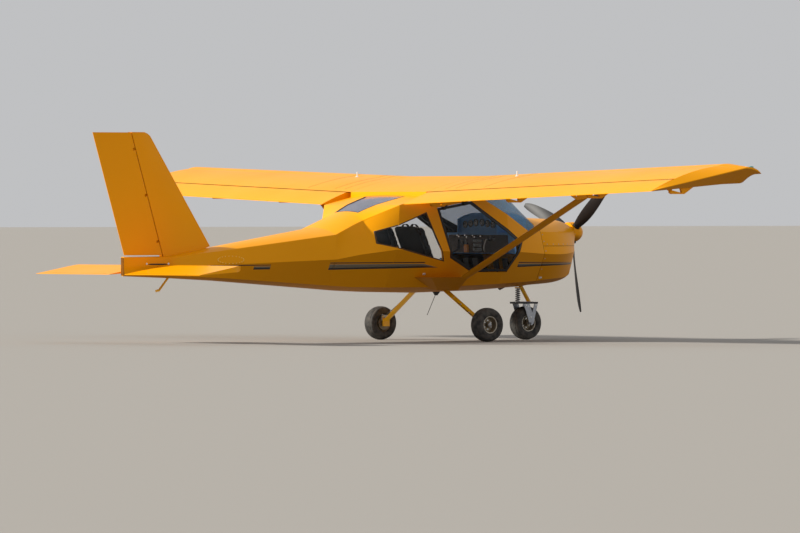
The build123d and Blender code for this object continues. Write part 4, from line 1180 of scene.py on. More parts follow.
@dataclass
class Gaskets:
    """Black rubber edging round the rear side windows and the roof window."""

    rear_window: Pairs = ((-1.117, 1.020), (-1.117, 1.130), (-0.574, 1.323), (-0.336, 0.840))
    skylight: Pairs = ((-1.120, -0.190), (-1.120, 0.190), (-0.640, 0.318), (-0.640, -0.318))
    reaches: tuple[float, float] = (0.001, 0.010)
    thick: float = 0.003

    def build(self, nodes: Nodes) -> None:
        """Lays the edging onto the cabin round each pane.

        Args:
            nodes: CAD node objects by name.
        """
        loops = self._loops(self.rear_window)
        for side in Side:
            strip = band(*(rail(x, side.value * BESIDE, z) for x, z in loops), 3)
            piece = make_piece(f"window_gasket_{side.label}", [strip], SEAL_AND_HOLE_SHADE)
            lay_on(piece, nodes["cabin_shell"], side.ahead, self.thick)
        strip = band(*(rail(x, y, ABOVE) for x, y in self._loops(self.skylight)), 3)
        piece = make_piece("skylight_gasket", [strip], SEAL_AND_HOLE_SHADE)
        lay_on(piece, nodes["cabin_shell"], Ahead.DOWN, self.thick)

    def _loops(self, corners: Pairs) -> list[np.ndarray]:
        """Two closed outlines round a pane, each a fixed reach outside its corners.

        Each corner moves out along the sum of its sides' outward normals, divided by one plus
        their dot product, and the sides between the corners are straight.

        Args:
            corners: The pane's corners in a plane.

        Returns:
            The inner and the outer outline, ending where they start: a row of first and a row
            of second coordinates each.
        """
        p = np.asarray(corners)
        edge = unit(np.roll(p, -1, axis=0) - p)
        area = np.sum(p[:, 0] * np.roll(p[:, 1], -1) - p[:, 1] * np.roll(p[:, 0], -1))
        normal = np.stack([edge[:, 1], -edge[:, 0]], 1) * np.sign(area)
        before = np.roll(normal, 1, axis=0)
        out = (normal + before) / (1 + np.sum(normal * before, axis=1))[:, None]
        share = np.linspace(0, 1, 24, endpoint=False)[None, :, None]
        loops = []
        for reach in self.reaches:
            moved = p + out * reach
            dense = moved[:, None] * (1 - share) + np.roll(moved, -1, axis=0)[:, None] * share
            dense = dense.reshape(-1, 2)
            loops.append(np.concatenate([dense, dense[:1]]).T)
        return loops


@dataclass
class Wheel:
    """One wheel's tyre with its ribbed tread, and the bolts, valve and bright lip of its rim."""

    name: str
    body: Body
    tyre_node: str
    axle: Point
    radius: float = 0.175
    bead_r: float = 0.089
    bead_y: float = 0.052
    shoulder_r: float = 0.1665
    shoulder_y: float = 0.050
    bulge: float = 0.024
    side_rings: tuple[float, ...] = (0.104, 0.150)
    side_ring_half: float = 0.002
    side_ring_height: float = 0.0012
    grooves: tuple[float, ...] = (-0.040, -0.020, 0.0, 0.020, 0.040)
    groove_depth: float = 0.0035
    groove_half: float = 0.0022
    tread_y: float = 0.048
    bolts: int = 6
    bolt_circle: float = 0.046
    bolt_y: float = 0.0075
    bolt_size: Point = (0.0095, 0.0065, 0.010)
    valve_foot: Point = (0.052, 0.010, 0.045)
    valve_long: float = 0.030
    valve_r: float = 0.0035
    lip_r: float = 0.0845
    lip_wire: float = 0.0042
    lip_beside: float = 0.3
    lip_ways: tuple[int, ...] = (1, -1)

    def build(self, nodes: Nodes) -> None:
        """Builds the tyre, which stands for its CAD node, and the rim's small parts.

        Args:
            nodes: CAD node objects by name.
        """
        tyre = make_piece(
            f"{self.name}_tyre", [revolve(self._profile(), self.axle, (0, 1, 0), 96, True)],
            RUBBER, self.body, 50.0)
        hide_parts(self.tyre_node)
        make_piece(f"{self.name}_bolts", self._bolts(), CHROME, self.body, BOLT_SHARP)
        x, y, z = np.array(self.axle) + self.valve_foot
        stem = sweep(rail(x, y + np.linspace(0, self.valve_long, 6), z), self.valve_r, 10)
        make_piece(f"{self.name}_valve", [stem], BLACK_STEEL, self.body)
        rim = nodes[self.tyre_node.replace("tyre", "rim")]
        lips = []
        for way in self.lip_ways:
            start = np.array(self.axle) + (0, self.lip_beside * way, self.lip_r)
            spot, _ = touch(rim, [start], (0, -way, 0))[0]
            centre = (self.axle[0], spot[1], self.axle[2])
            lips.append(torus(self.lip_r, self.lip_wire, centre, (0, 1, 0), 72, 10))
        make_piece(f"{self.name}_rim_lip", lips, RIM_LIP, self.body)

    def _bolts(self) -> list[Grid]:
        """Bolts on both faces of the hub, those of the starboard face half a step on.

        Returns:
            The bolts' surfaces.
        """
        grids = []
        for way in (1, -1):
            for k in range(self.bolts):
                turn = 2 * math.pi * (k + 0.5 * (way < 0)) / self.bolts
                spot = np.array(self.axle) + (
                    self.bolt_circle * math.cos(turn), way * self.bolt_y,
                    self.bolt_circle * math.sin(turn))
                grids += bolt(spot, (0, way, 0), *self.bolt_size)
        return grids

    def _profile(self) -> np.ndarray:
        """The tyre's closed section as pairs of radius and sideways offset.

        The sides are half ovals from the bead to the shoulder, with two raised rings. The
        tread is a flat crown less a groove, exp(-(offset / half) ** 4) deep, at each place.

        Returns:
            The section's points.
        """
        t = np.linspace(-math.pi / 2, math.pi / 2, 22)
        middle = (self.bead_r + self.shoulder_r) / 2
        reach = (self.shoulder_r - self.bead_r) / 2
        side_r = middle + reach * np.sin(t)
        side_y = np.interp(side_r, (self.bead_r, self.shoulder_r), (self.bead_y, self.shoulder_y))
        side_y += self.bulge * np.cos(t)
        side_y += self.side_ring_height * sum(
            bump_at(side_r, ring, self.side_ring_half) for ring in self.side_rings)
        y = np.linspace(self.shoulder_y, -self.shoulder_y, 81)
        crown = self.radius - (self.radius - self.shoulder_r) * np.abs(y / self.shoulder_y) ** 3
        cut = sum(bump_at(y, place, self.groove_half, 4) for place in self.grooves)
        tread = crown - self.groove_depth * cut * (np.abs(y) < self.tread_y)
        inner = np.linspace(-self.bead_y, self.bead_y, 6)[1:-1]
        r = np.concatenate([side_r, tread[1:-1], side_r[::-1], np.full_like(inner, self.bead_r)])
        across = np.concatenate([side_y, y[1:-1], -side_y[::-1], inner])
        return np.stack([r, across], 1)


@dataclass
class NoseLeg:
    """Coil spring of the steered nose leg, and the bolts, ribs and cover plate of its fork."""

    spring_x: float = 1.114
    spring_low: float = 0.404
    spring_high: float = 0.530
    coil_r: float = 0.0235
    wire_r: float = 0.0042
    turns: int = 6
    plate_y: float = 0.0975
    bolt_places: Pairs = (
        (1.150, 0.362), (1.178, 0.350), (1.276, 0.362), (1.292, 0.372), (1.214, 0.236))
    bolt_size: Point = (0.0105, 0.0068, 0.0085)
    rib: tuple[Point, Point] = ((1.19, 0.06, 0.3945), (0.085, 0.010, 0.004))
    crown: tuple[Point, Point] = ((1.197, 0.0, 0.386), (0.1105, 0.1000, 0.0098))

    def build(self) -> None:
        """Builds the spring round the nose leg's rod, and the fork's small parts.

        The spring's wire follows x + r cos t, r sin t, with the height rising in step with t.
        """
        t = np.linspace(0, 2 * math.pi * self.turns, 28 * self.turns)
        z = np.linspace(self.spring_low, self.spring_high, len(t))
        path = rail(self.spring_x + self.coil_r * np.cos(t), self.coil_r * np.sin(t), z)
        make_piece("nose_spring", [sweep(path, self.wire_r, 8)], BLACK_STEEL, Body.NOSE_GEAR)
        bolts = [
            grid for way in (1, -1) for x, z in self.bolt_places
            for grid in bolt((x, way * self.plate_y, z), (0, way, 0), *self.bolt_size)]
        make_piece("fork_bolts", bolts, CHROME, Body.NOSE_GEAR, BOLT_SHARP)
        (x, y, z), half = self.rib
        ribs = [rounded_block((x, off, z), half, 0.3) for off in (-y, y)]
        make_piece("crown_ribs", ribs, FORK, Body.NOSE_GEAR)
        crown = rounded_block(*self.crown, 0.02, (48, 16))
        make_piece("fork_crown", [crown], BLACK_STEEL, Body.NOSE_GEAR)


@dataclass
class MainGear:
    """Brake hoses with their clips, caliper bolts and axle caps of the main gear."""

    hose_r: float = 0.0034
    route: tuple[Point, ...] = (
        (-0.035, 0.822, 0.252), (-0.060, 0.800, 0.262), (-0.052, 0.74, 0.262),
        (-0.052, 0.60, 0.335), (-0.056, 0.45, 0.420), (-0.062, 0.34, 0.478), (-0.064, 0.30, 0.512))
    clip_x: float = -0.046
    clip_places: Pairs = ((0.66, 0.300), (0.52, 0.382), (0.40, 0.450))
    clip_half: Point = (0.008, 0.010, 0.007)
    caliper_x: tuple[float, ...] = (-0.028, 0.028)
    caliper_y: float = 0.8345
    caliper_z: tuple[float, ...] = (0.214, 0.244)
    bolt_size: tuple[float, float] = (0.006, 0.006)
    axle_z: float = 0.175
    cap_profile: Pairs = (
        (0, -0.0095), (0.0212, -0.0095), (0.0212, 0.0), (0.0190, 0.003), (0.009, 0.0045),
        (0.009, 0.010), (0.0035, 0.011), (0, 0.011))

    def build(self, nodes: Nodes) -> None:
        """Builds both sides' hoses and fittings.

        Args:
            nodes: CAD node objects by name.
        """
        hose = sweep(spline(self.route, 60), self.hose_r, 8)
        make_piece("brake_hoses", both([hose]), BLACK_STEEL)
        clips = [
            rounded_block((self.clip_x, y, z), self.clip_half, 0.4, (16, 10))
            for y, z in self.clip_places]
        make_piece("hose_clips", both(clips), BARE_STEEL)
        heads = [
            disc(*self.bolt_size, (x, self.caliper_y, z), (0, 1, 0), 6)
            for x in self.caliper_x for z in self.caliper_z]
        make_piece("caliper_bolts", both(heads), CHROME, sharp_deg=BOLT_SHARP)
        spot, _ = touch(nodes["gear_leg_left"], [(0.0, BESIDE, self.axle_z)], (0, -1, 0))[0]
        cap = revolve(self.cap_profile, spot, (0, 1, 0), 32)
        make_piece("axle_caps", both([cap]), BARE_STEEL)


@dataclass
class Lights:
    """Tip lights with their strobes, the fuel vents' white posts and the strut plates' bolts."""

    tip_light: tuple[float, float] = (0.405, 4.64)
    lamp: tuple[float, Point] = (0.028, (0.028, 0.014, 0.011))
    strobe: tuple[float, Point] = (-0.030, (0.030, 0.015, 0.011))
    lamp_up: float = 0.004
    post: tuple[float, float] = (0.04, 1.36)
    post_sink: float = 0.001
    post_profile: Pairs = (
        (0, 0), (0.022, 0), (0.022, 0.004), (0.010, 0.008), (0.0065, 0.012), (0.0065, 0.051),
        (0.005, 0.055), (0, 0.055))
    cuff_y: float = 2.31
    cuff_half: float = 0.0058
    cuff_bolts: Pairs = ((-0.03, 1.553), (0.06, 1.548), (0.15, 1.540))
    bolt_size: Point = (0.011, 0.007, 0.009)

    def build(self, nodes: Nodes) -> None:
        """Builds the small fittings of both wings.

        Args:
            nodes: CAD node objects by name.
        """
        for side, cover, tip, wing in (
            (Side.PORT, RED_LENS, "wing_tip_left", "wing_left"),
            (Side.STARBOARD, GREEN_LENS, "wing_tip_right", "wing_right"),
        ):
            x, y, z = self._top(nodes[tip], side, self.tip_light)
            front, rear = (
                rounded_block((x + off, y, z + self.lamp_up), half, 0.7)
                for off, half in (self.lamp, self.strobe))
            make_piece(f"tip_light_{side.label}", [front], cover)
            make_piece(f"tip_strobe_{side.label}", [rear], WHITE_LENS)
            x, y, z = self._top(nodes[wing], side, self.post)
            vent = revolve(self.post_profile, (x, y, z - self.post_sink), (0, 0, 1), 20)
            make_piece(f"fuel_vent_{side.label}", [vent], WHITE_CAP)
        bolts = [
            grid for x, z in self.cuff_bolts for way in (1, -1)
            for grid in bolt(
                (x, self.cuff_y + way * self.cuff_half, z), (0, way, 0), *self.bolt_size)]
        make_piece("cuff_bolts", both(bolts), BARE_STEEL, sharp_deg=BOLT_SHARP)

    @staticmethod
    def _top(node: bpy.types.Object, side: Side, at: tuple[float, float]) -> Point:
        """The point of a node's top at a place (x, y) of one side.

        Args:
            node: The node's object.
            side: Side of the aircraft.
            at: The place's x, and its y on the port side.

        Returns:
            The point, measured from the main axle.
        """
        x, y = at[0], side.value * at[1]
        spot, _ = touch(node, [(x, y, ABOVE)], (0, 0, -1))[0]
        return x, y, spot[2]


@dataclass
class SpinnerTrim:
    """Backplate seam and screws of the spinner."""

    thrust_z: float = 1.122
    seam_x: float = 1.7845
    seam_r: float = 0.104
    seam_wire: float = 0.0015
    screws: int = 12
    screw_x: float = 1.797
    screw_circle: float = 0.1045
    screw: tuple[float, float] = (0.0042, 0.003)
    first_turn: float = 0.35

    def build(self) -> None:
        """Builds a dark seam ring and small screws behind the spinner's shoulder."""
        centre = (self.seam_x, 0, self.thrust_z)
        ring = torus(self.seam_r, self.seam_wire, centre, (1, 0, 0), 64, 8)
        make_piece("spinner_seam", [ring], SEAM_AND_SHADE, Body.PROPELLER)
        heads = []
        for k in range(self.screws):
            turn = 2 * math.pi * (k + self.first_turn) / self.screws
            out = np.array([0.0, math.cos(turn), math.sin(turn)])
            spot = self.screw_circle * out + (self.screw_x, 0, self.thrust_z)
            heads.append(dome(*self.screw, spot, out))
        make_piece("spinner_screws", heads, BARE_STEEL, Body.PROPELLER)


@dataclass
class Cushion:
    """One padded cushion of a seat, with its sewn channels.

    A back cushion stands up and is thin from front to rear. A base cushion lies flat.
    """

    name: str
    middle: Point
    half: Point
    lean_deg: float
    is_back: bool
    voxel: float = 0.006
    pressure: float = 4.0
    mass: float = 0.3
    quality: int = 4
    stretch: float = 12.0
    shear: float = 6.0
    frames: int = 20
    swell_cap: float = 0.024
    channels: tuple[float, ...] = (-0.10, 0.0, 0.10)
    rim_y: float = 0.150
    channel_half: float = 0.007
    channel_depth: float = 0.009

    def build(self) -> bpy.types.Object:
        """A padded block, puffed up by a short cloth run.

        Returns:
            The cushion.
        """
        block = rounded_block(self.middle, self.half, 0.22, (48, 32), self.lean_deg)
        piece = make_piece(self.name, [block], SEAT_CLOTH, sharp_deg=180.0)
        self._puff(piece)
        self._channels(piece.data)
        soft = piece.modifiers.new("soft", "SUBSURF")
        soft.levels = 1
        soft.render_levels = 1
        return piece

    def _puff(self, piece: bpy.types.Object) -> None:
        """Swells the cushion under pressure, and keeps each point within the cap.

        Args:
            piece: The cushion.
        """
        remesh = piece.modifiers.new("remesh", "REMESH")
        remesh.mode = "VOXEL"
        remesh.voxel_size = self.voxel
        rest = read_points(bake(piece))
        cloth = piece.modifiers.new("puff", "CLOTH")
        cloth.settings.quality = self.quality
        cloth.settings.mass = self.mass
        cloth.settings.use_pressure = True
        cloth.settings.uniform_pressure_force = self.pressure
        cloth.settings.effector_weights.gravity = 0.0
        cloth.settings.tension_stiffness = self.stretch
        cloth.settings.compression_stiffness = self.stretch
        cloth.settings.shear_stiffness = self.shear
        cloth.point_cache.frame_start = 1
        cloth.point_cache.frame_end = self.frames
        for frame in range(1, self.frames + 1):
            bpy.context.scene.frame_set(frame)
        grown = bake(piece)
        step = read_points(grown) - rest
        length = np.linalg.norm(step, axis=1, keepdims=True)
        share = np.minimum(1.0, self.swell_cap / np.maximum(length, 1e-9))
        write_points(grown, rest + step * share)
        grown.shade_smooth()
        bpy.context.scene.frame_set(1)

    def _channels(self, mesh: bpy.types.Mesh) -> None:
        """Presses three sewn channels across a cushion, and a seam round its edge.

        Each channel moves a point towards the cushion's middle by depth * exp(-(d / w) ** 2),
        with d its distance from the channel along the leaning cushion.

        Args:
            mesh: The cushion's mesh.
        """
        points = read_points(mesh)
        away = points - (np.asarray(self.middle) + (DATUM_X, 0, 0))
        a = math.radians(self.lean_deg)
        up = np.array([-math.sin(a), 0, math.cos(a)])
        ahead = np.array([math.cos(a), 0, math.sin(a)])
        long, thin = (up, ahead) if self.is_back else (ahead, up)
        press = sum(bump_at(away @ long, place, self.channel_half) for place in self.channels)
        rim = bump_at(np.abs(away[:, 1]), self.rim_y, self.channel_half)
        depth = self.channel_depth * np.clip(press + rim, 0, 1)
        write_points(mesh, points - (depth * np.sign(away @ thin))[:, None] * thin)


@dataclass
class Seat:
    """One seat: a padded base and back on a tray, with its harness and buckle.

    The tables of the lap strap, the buckle and the sliders measure y from the seat's middle
    line. The shoulder straps' table gives it as a share of shoulder_y. A row of the tray's table
    is x, z, half sizes, roundness and whether the block leans with the back.
    """

    name: str
    side: Side
    middle_y: float = 0.265
    base_middle: tuple[float, float] = (-0.10, 0.742)
    base_half: Point = (0.195, 0.192, 0.056)
    base_lean: float = 2.0
    back_middle: tuple[float, float] = (-0.418, 0.985)
    back_half: Point = (0.040, 0.188, 0.205)
    back_lean: float = 23.5
    tray: tuple[tuple[float, float, Point, float, bool], ...] = (
        (-0.11, 0.656, (0.215, 0.200, 0.035), 0.2, False),
        (-0.470, 0.965, (0.010, 0.195, 0.240), 0.2, True),
        (-0.325, 0.705, (0.040, 0.195, 0.045), 0.4, False))
    shoulder_y: float = 0.075
    shoulder: tuple[Point, ...] = (
        (-0.548, 1.1, 1.120), (-0.540, 1.0, 1.198), (-0.490, 1.0, 1.204), (-0.428, 0.95, 1.130),
        (-0.360, 0.8, 0.995), (-0.285, 0.5, 0.880), (-0.200, 0.3, 0.838), (-0.150, 0.2, 0.832))
    lap: tuple[Point, ...] = (
        (-0.300, -0.200, 0.760), (-0.270, -0.170, 0.826), (-0.180, -0.080, 0.834),
        (-0.135, 0.0, 0.834), (-0.180, 0.080, 0.834), (-0.270, 0.170, 0.826),
        (-0.300, 0.200, 0.760))
    strap_half: tuple[float, float] = (0.022, 0.021)
    strap_thick: float = 0.0014
    buckle: tuple[Point, Point] = ((-0.140, 0.0, 0.840), (0.030, 0.026, 0.010))
    slider: tuple[Point, Point] = ((-0.300, 0.060, 0.908), (0.014, 0.026, 0.006))
    slider_lean: float = -50.0

    def build(self) -> bpy.types.Object:
        """Builds the seat.

        Returns:
            The base cushion.
        """
        y = self.side.value * self.middle_y
        base, _ = (
            Cushion(f"{self.name}_{part}", (x, y, z), half, lean, part == "back").build()
            for part, (x, z), half, lean in (
                ("base", self.base_middle, self.base_half, self.base_lean),
                ("back", self.back_middle, self.back_half, self.back_lean)))
        blocks = [
            rounded_block((x, y, z), half, power, lean_deg=self.back_lean * leans)
            for x, z, half, power, leans in self.tray]
        make_piece(f"{self.name}_tray", blocks, BLACK_STEEL)
        self._harness(y)
        return base

    def _harness(self, middle: float) -> None:
        """Two shoulder straps, a lap strap, their buckle and two sliders.

        Args:
            middle: The seat's middle line.
        """
        shoulder_half, lap_half = self.strap_half
        straps = []
        for off in (-self.shoulder_y, self.shoulder_y):
            route = [(x, middle + share * off, z) for x, share, z in self.shoulder]
            straps.append(self._ribbon(spline(route, 60), shoulder_half))
        lap = spline([(x, middle + y, z) for x, y, z in self.lap], 80)
        make_piece(f"{self.name}_harness", [*straps, self._ribbon(lap, lap_half)], STRAP)
        (x, _, z), half = self.buckle
        blocks = [rounded_block((x, middle, z), half, 0.35)]
        (x, y, z), half = self.slider
        blocks += [
            rounded_block((x, middle + off, z), half, 0.3, lean_deg=self.slider_lean)
            for off in (-y, y)]
        make_piece(f"{self.name}_buckle", blocks, CHROME)

    def _ribbon(self, path: np.ndarray, half_width: float) -> Grid:
        """Flat webbing along a path: a thin rounded section, wide square to path and push.

        The section's wide direction lies square to the path and to the direction from the
        path's chord line towards its bulge, so that the strap lies flat on what it crosses.

        Args:
            path: Points of the path, one a row.
            half_width: Half the webbing's width.

        Returns:
            The closed ribbon.
        """
        run = unit(np.gradient(path, axis=0))
        bend = np.gradient(run, axis=0).mean(axis=0) + np.array([0, 0, -1e-3])
        wide = unit(np.cross(run, unit(bend)))
        out = np.cross(wide, run)
        t = full_turn(12)
        across = (bent(np.cos(t), 0.4) * half_width)[None, :, None]
        through = (bent(np.sin(t), 0.6) * self.strap_thick)[None, :, None]
        return capped(path, path[:, None] + wide[:, None] * across + out[:, None] * through)


@dataclass
class Dashboard:
    """Dials, knobs, a latch, a hose and a radio stack on the instrument panel."""

    face_x: float = 0.6045
    low_face_x: float = 0.5915
    big_dial_r: float = 0.038
    big_dials: Pairs = (
        (-0.235, 1.205), (-0.145, 1.215), (-0.052, 1.225), (0.052, 1.225), (0.145, 1.215),
        (0.235, 1.205))
    small_dial_r: float = 0.026
    small_dials: Pairs = ((-0.27, 1.06), (-0.20, 1.06), (0.21, 1.02), (0.28, 1.02))
    dial_edge: float = 0.004
    needle_from: float = -0.006
    needle_to: float = 0.027
    needle_r: tuple[float, float] = (0.0018, 0.0006)
    needle_out: float = 0.0052
    needle_turn: tuple[float, float] = (40.0, 57.0)
    knob_row: tuple[float, float, int] = (-0.06, 0.38, 11)
    knob_z: float = 1.085
    knob_long: tuple[float, float] = (0.020, 0.006)
    knob_drift: tuple[float, float] = (0.010, 2.3)
    latch: tuple[tuple[Point, Point, float], ...] = (
        ((0.583, 0.190, 0.955), (0.012, 0.030, 0.042), 0.25),
        ((0.568, 0.190, 0.970), (0.010, 0.020, 0.008), 0.4))
    hose: tuple[Point, ...] = (
        (0.594, -0.155, 1.050), (0.560, -0.168, 1.045), (0.545, -0.165, 1.000),
        (0.556, -0.140, 0.950), (0.590, -0.110, 0.915))
    hose_r: float = 0.0065
    fascia: tuple[Point, Point] = ((0.5958, 0.0, 1.004), (0.0045, 0.500, 0.094))
    fascia_lean: float = 3.6
    radio_x: float = 0.586
    radio_half: Point = (0.009, 0.075, 0.019)
    radio_z: tuple[float, ...] = (0.945, 0.990, 1.035)

    def build(self) -> None:
        """Builds everything that stands on the panel's rear face."""
        dials = [(self.big_dial_r, (self.face_x, y, z)) for y, z in self.big_dials]
        dials += [(self.small_dial_r, (self.low_face_x, y, z)) for y, z in self.small_dials]
        make_piece("dial_bezels", [self._bezel(*dial) for dial in dials], BLACK_STEEL)
        edge = self.dial_edge
        faces = [disc(radius - edge, edge, spot, (-1, 0, 0), 32) for radius, spot in dials]
        make_piece("dial_faces", faces, DIAL_BLACK)
        make_piece("dial_needles", self._needles(), WHITE_CAP)
        self._knobs()
        latch = [rounded_block(*block) for block in self.latch]
        make_piece("panel_latch", latch, LATCH_ORANGE)
        make_piece("white_hose", [sweep(spline(self.hose), self.hose_r)], WHITE_CAP)
        fascia = rounded_block(*self.fascia, 0.06, (48, 16), self.fascia_lean)
        make_piece("panel_fascia", [fascia], FASCIA)
        radios = [rounded_block((self.radio_x, 0.0, z), self.radio_half, 0.2) for z in self.radio_z]
        make_piece("radio_stack", radios, DIAL_BLACK)

    def _knobs(self) -> None:
        """A row of knobs in three lengths, every third one black, the others bright.

        Their heights drift by drift * sin(rate * number).
        """
        knobs = {CHROME: [], SEAL_AND_HOLE_SHADE: []}
        short, longer = self.knob_long
        drift, rate = self.knob_drift
        for k, y in enumerate(np.linspace(*self.knob_row)):
            reach = short + longer * (k % 3)
            profile = (
                (0, 0), (0.010, 0), (0.010, 0.003), (0.004, 0.005), (0.004, reach - 0.006),
                (0.008, reach - 0.004), (0.008, reach), (0, reach + 0.002))
            spot = (self.low_face_x, y, self.knob_z + drift * math.sin(rate * k))
            knobs[SEAL_AND_HOLE_SHADE if k % 3 == 1 else CHROME].append(revolve(profile, spot, (-1, 0, 0), 16))
        for finish, shapes in knobs.items():
            make_piece(f"panel_knobs_{finish.name}", shapes, finish)

    @staticmethod
    def _bezel(radius: float, centre: Point) -> Grid:
        """A dial's raised ring: a rounded square section turned about the dial's axis.

        Args:
            radius: Outer radius of the ring.
            centre: Middle of its foot on the panel.

        Returns:
            The ring.
        """
        profile = [
            (radius - 0.005, 0.0), (radius, 0.0), (radius, 0.006), (radius - 0.0015, 0.008),
            (radius - 0.004, 0.008), (radius - 0.005, 0.006)]
        return revolve(profile, centre, (-1, 0, 0), 32, True)

    def _needles(self) -> list[Grid]:
        """One tapered needle on each big dial, turned to its own angle.

        Returns:
            The needles.
        """
        grids = []
        along = np.linspace(self.needle_from, self.needle_to, 6)
        first, step = self.needle_turn
        for k, (y, z) in enumerate(self.big_dials):
            turn = math.radians(first + step * k)
            path = rail(
                self.face_x - self.needle_out, y + along * math.cos(turn),
                z + along * math.sin(turn))
            grids.append(sweep(path, np.linspace(*self.needle_r, 6), 8, 0.5))
        return grids


@dataclass
class Cabin:
    """Everything seen through the panes: seats, dashboard, tubes, grips and floor mats."""

    tube_r: float = 0.011
    tubes: tuple[tuple[Point, ...], ...] = (
        ((0.080, 0.575, 1.500), (0.360, 0.540, 1.330), (0.640, 0.490, 1.130)),
        ((-0.400, 0.560, 1.400), (-0.330, 0.585, 1.150), (-0.250, 0.590, 0.900)),
        ((0.080, 0.0, 1.515), (0.080, 0.30, 1.512), (0.080, 0.575, 1.500)),
        ((-0.420, 0.0, 1.440), (-0.420, 0.30, 1.436), (-0.400, 0.560, 1.400)))
    grip_foot: Point = (0.230, 0.130, 0.950)
    grip_long: float = 0.105
    grip_lean: float = 0.076
    grip_r: float = 0.0185
    grip_ripple: float = 0.0018
    grip_wave: float = 0.024
    grip_end_r: float = 0.012
    lever: tuple[Point, ...] = ((0.10, 0.0, 0.640), (0.12, 0.0, 0.740), (0.10, 0.0, 0.840))
    lever_r: float = 0.008
    knob: tuple[float, float] = (0.018, 0.022)
    knob_foot: Point = (0.10, 0.0, 0.838)
    mat: tuple[Point, Point] = ((0.42, 0.24, 0.6235), (0.24, 0.17, 0.004))

    def build(self) -> None:
        """Builds the cabin's fittings."""
        base = Seat("seat_left", Side.PORT).build()
        Seat("seat_right", Side.STARBOARD).build()
        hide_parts("seats")
        Dashboard().build()
        tubes = []
        for points in self.tubes:
            tubes += both([sweep(spline(points, 24), self.tube_r)])
        make_piece("cabin_tubes", tubes, BLACK_STEEL)
        self._controls()

    def _controls(self) -> None:
        """Grips with finger grooves on both sticks, the brake lever and the floor mats.

        A grip's radius is r + ripple * cos(2 pi height / wave).
        """
        up = np.linspace(0.0, self.grip_long, 40)
        ripple = self.grip_r + self.grip_ripple * np.cos(2 * math.pi * up / self.grip_wave)
        ripple[[0, -1]] = self.grip_end_r
        x, y, z = self.grip_foot
        paths = (rail(x + self.grip_lean * up, side.value * y, z + up) for side in Side)
        make_piece("stick_grips", [sweep(path, ripple, 18, 0.85) for path in paths], SEAL_AND_HOLE_SHADE)
        make_piece("brake_lever", [sweep(spline(self.lever, 30), self.lever_r)], BARE_STEEL)
        knob = dome(*self.knob, self.knob_foot, (0, 0, 1), 20)
        make_piece("brake_knob", [knob], SEAL_AND_HOLE_SHADE)
        (x, y, z), half = self.mat
        mats = [rounded_block((x, off, z), half, 0.12, (48, 10)) for off in (-y, y)]
        make_piece("floor_mats", mats, STRAP)


@dataclass
class Trim:
    """The tailplane's tab seam, and the tail cone's end plate in painted shade."""

    tab: tuple[float, float] = (0.25, 1.15)
    tab_x: float = -3.985
    tab_long: float = 0.030
    seam_wide: float = 0.003
    seam_thick: float = 0.0008
    above: float = 1.4
    cap: tuple[Point, Point] = ((-3.9600, 0.0, 0.786), (0.0035, 0.0245, 0.091))

    def build(self, nodes: Nodes) -> None:
        """Builds the tab's seam on both halves of the tailplane, and the end plate.

        Args:
            nodes: CAD node objects by name.
        """
        strips = []
        half = self.seam_wide / 2
        x = np.linspace(self.tab_x, self.tab_x - self.tab_long, 6)
        for side in Side:
            y = np.linspace(side.value * self.tab[0], side.value * self.tab[1], 30)
            strips.append(band(*(
                rail(self.tab_x + off, y, self.above) for off in (0.0, self.seam_wide))))
            strips += [
                band(*(rail(x, side.value * end + off, self.above) for off in (-half, half)))
                for end in self.tab]
        piece = make_piece("tab_seam", strips, SEAM_AND_SHADE, Body.STABILATOR)
        lay_on(piece, nodes["stabilator"], Ahead.DOWN, self.seam_thick)
        # Painted shade: the end plate's dark amber looks in sunlight like the shaded paint of the
        # tail's side.
        make_piece("tail_end_cap", [rounded_block(*self.cap, 0.12)], SEAM_AND_SHADE)


@dataclass
class Skins:
    """Gives each carried-over CAD node its finish and clean shading."""

    angle_deg: float = 28.0
    weld: float = 1e-5

    def build(self, frame: dict) -> None:
        """Dresses every node by its own finish or its slot's.
        """
        slots = {row["node"]: row["material_slot"] for row in frame["record"]["subparts"]}
        group = self._shading()
        for name, node in frame["nodes"].items():
            finish = NODE_FINISH.get(name, SLOT_FINISH[slots[name]])
            node.data.materials.clear()
            node.data.materials.append(finish.material())
            node.modifiers.new("shade_by_angle", "NODES").node_group = group
            LOG.info("dressed %s with %s", name, finish.name)

    def _shading(self) -> bpy.types.NodeTree:
        """Node group that welds the triangles and shades them smooth up to an angle.

        An edge stays sharp where its faces meet at more than the angle, or where more than
        two faces meet.

        Returns:
            The geometry node group.
        """
        group = bpy.data.node_groups.new("shade_by_angle", "GeometryNodeTree")
        for way in ("INPUT", "OUTPUT"):
            group.interface.new_socket("Geometry", in_out=way, socket_type="NodeSocketGeometry")
        angle = add_node(group, "GeometryNodeInputMeshEdgeAngle").outputs["Unsigned Angle"]
        over = add_node(group, "FunctionNodeCompare", {
            "A": angle, "B": math.radians(self.angle_deg)}, operation="GREATER_THAN")
        sharing = add_node(group, "GeometryNodeInputMeshEdgeNeighbors").outputs["Face Count"]
        many = add_node(
            group, "FunctionNodeCompare", {2: sharing, 3: 2}, data_type="INT",
            operation="GREATER_THAN")
        either = add_node(group, "FunctionNodeBooleanMath", {
            0: over.outputs["Result"], 1: many.outputs["Result"]}, operation="OR")
        start = add_node(group, "NodeGroupInput").outputs["Geometry"]
        weld = add_node(group, "GeometryNodeMergeByDistance", {
            "Geometry": start, "Distance": self.weld})
        faces = add_node(group, "GeometryNodeSetShadeSmooth", {
            "Geometry": weld.outputs["Geometry"]}, domain="FACE")
        edges = add_node(group, "GeometryNodeSetShadeSmooth", {
            "Geometry": faces.outputs["Geometry"], "Selection": either.outputs["Boolean"],
            "Shade Smooth": False}, domain="EDGE")
        add_node(group, "NodeGroupOutput", {"Geometry": edges.outputs["Geometry"]})
        return group


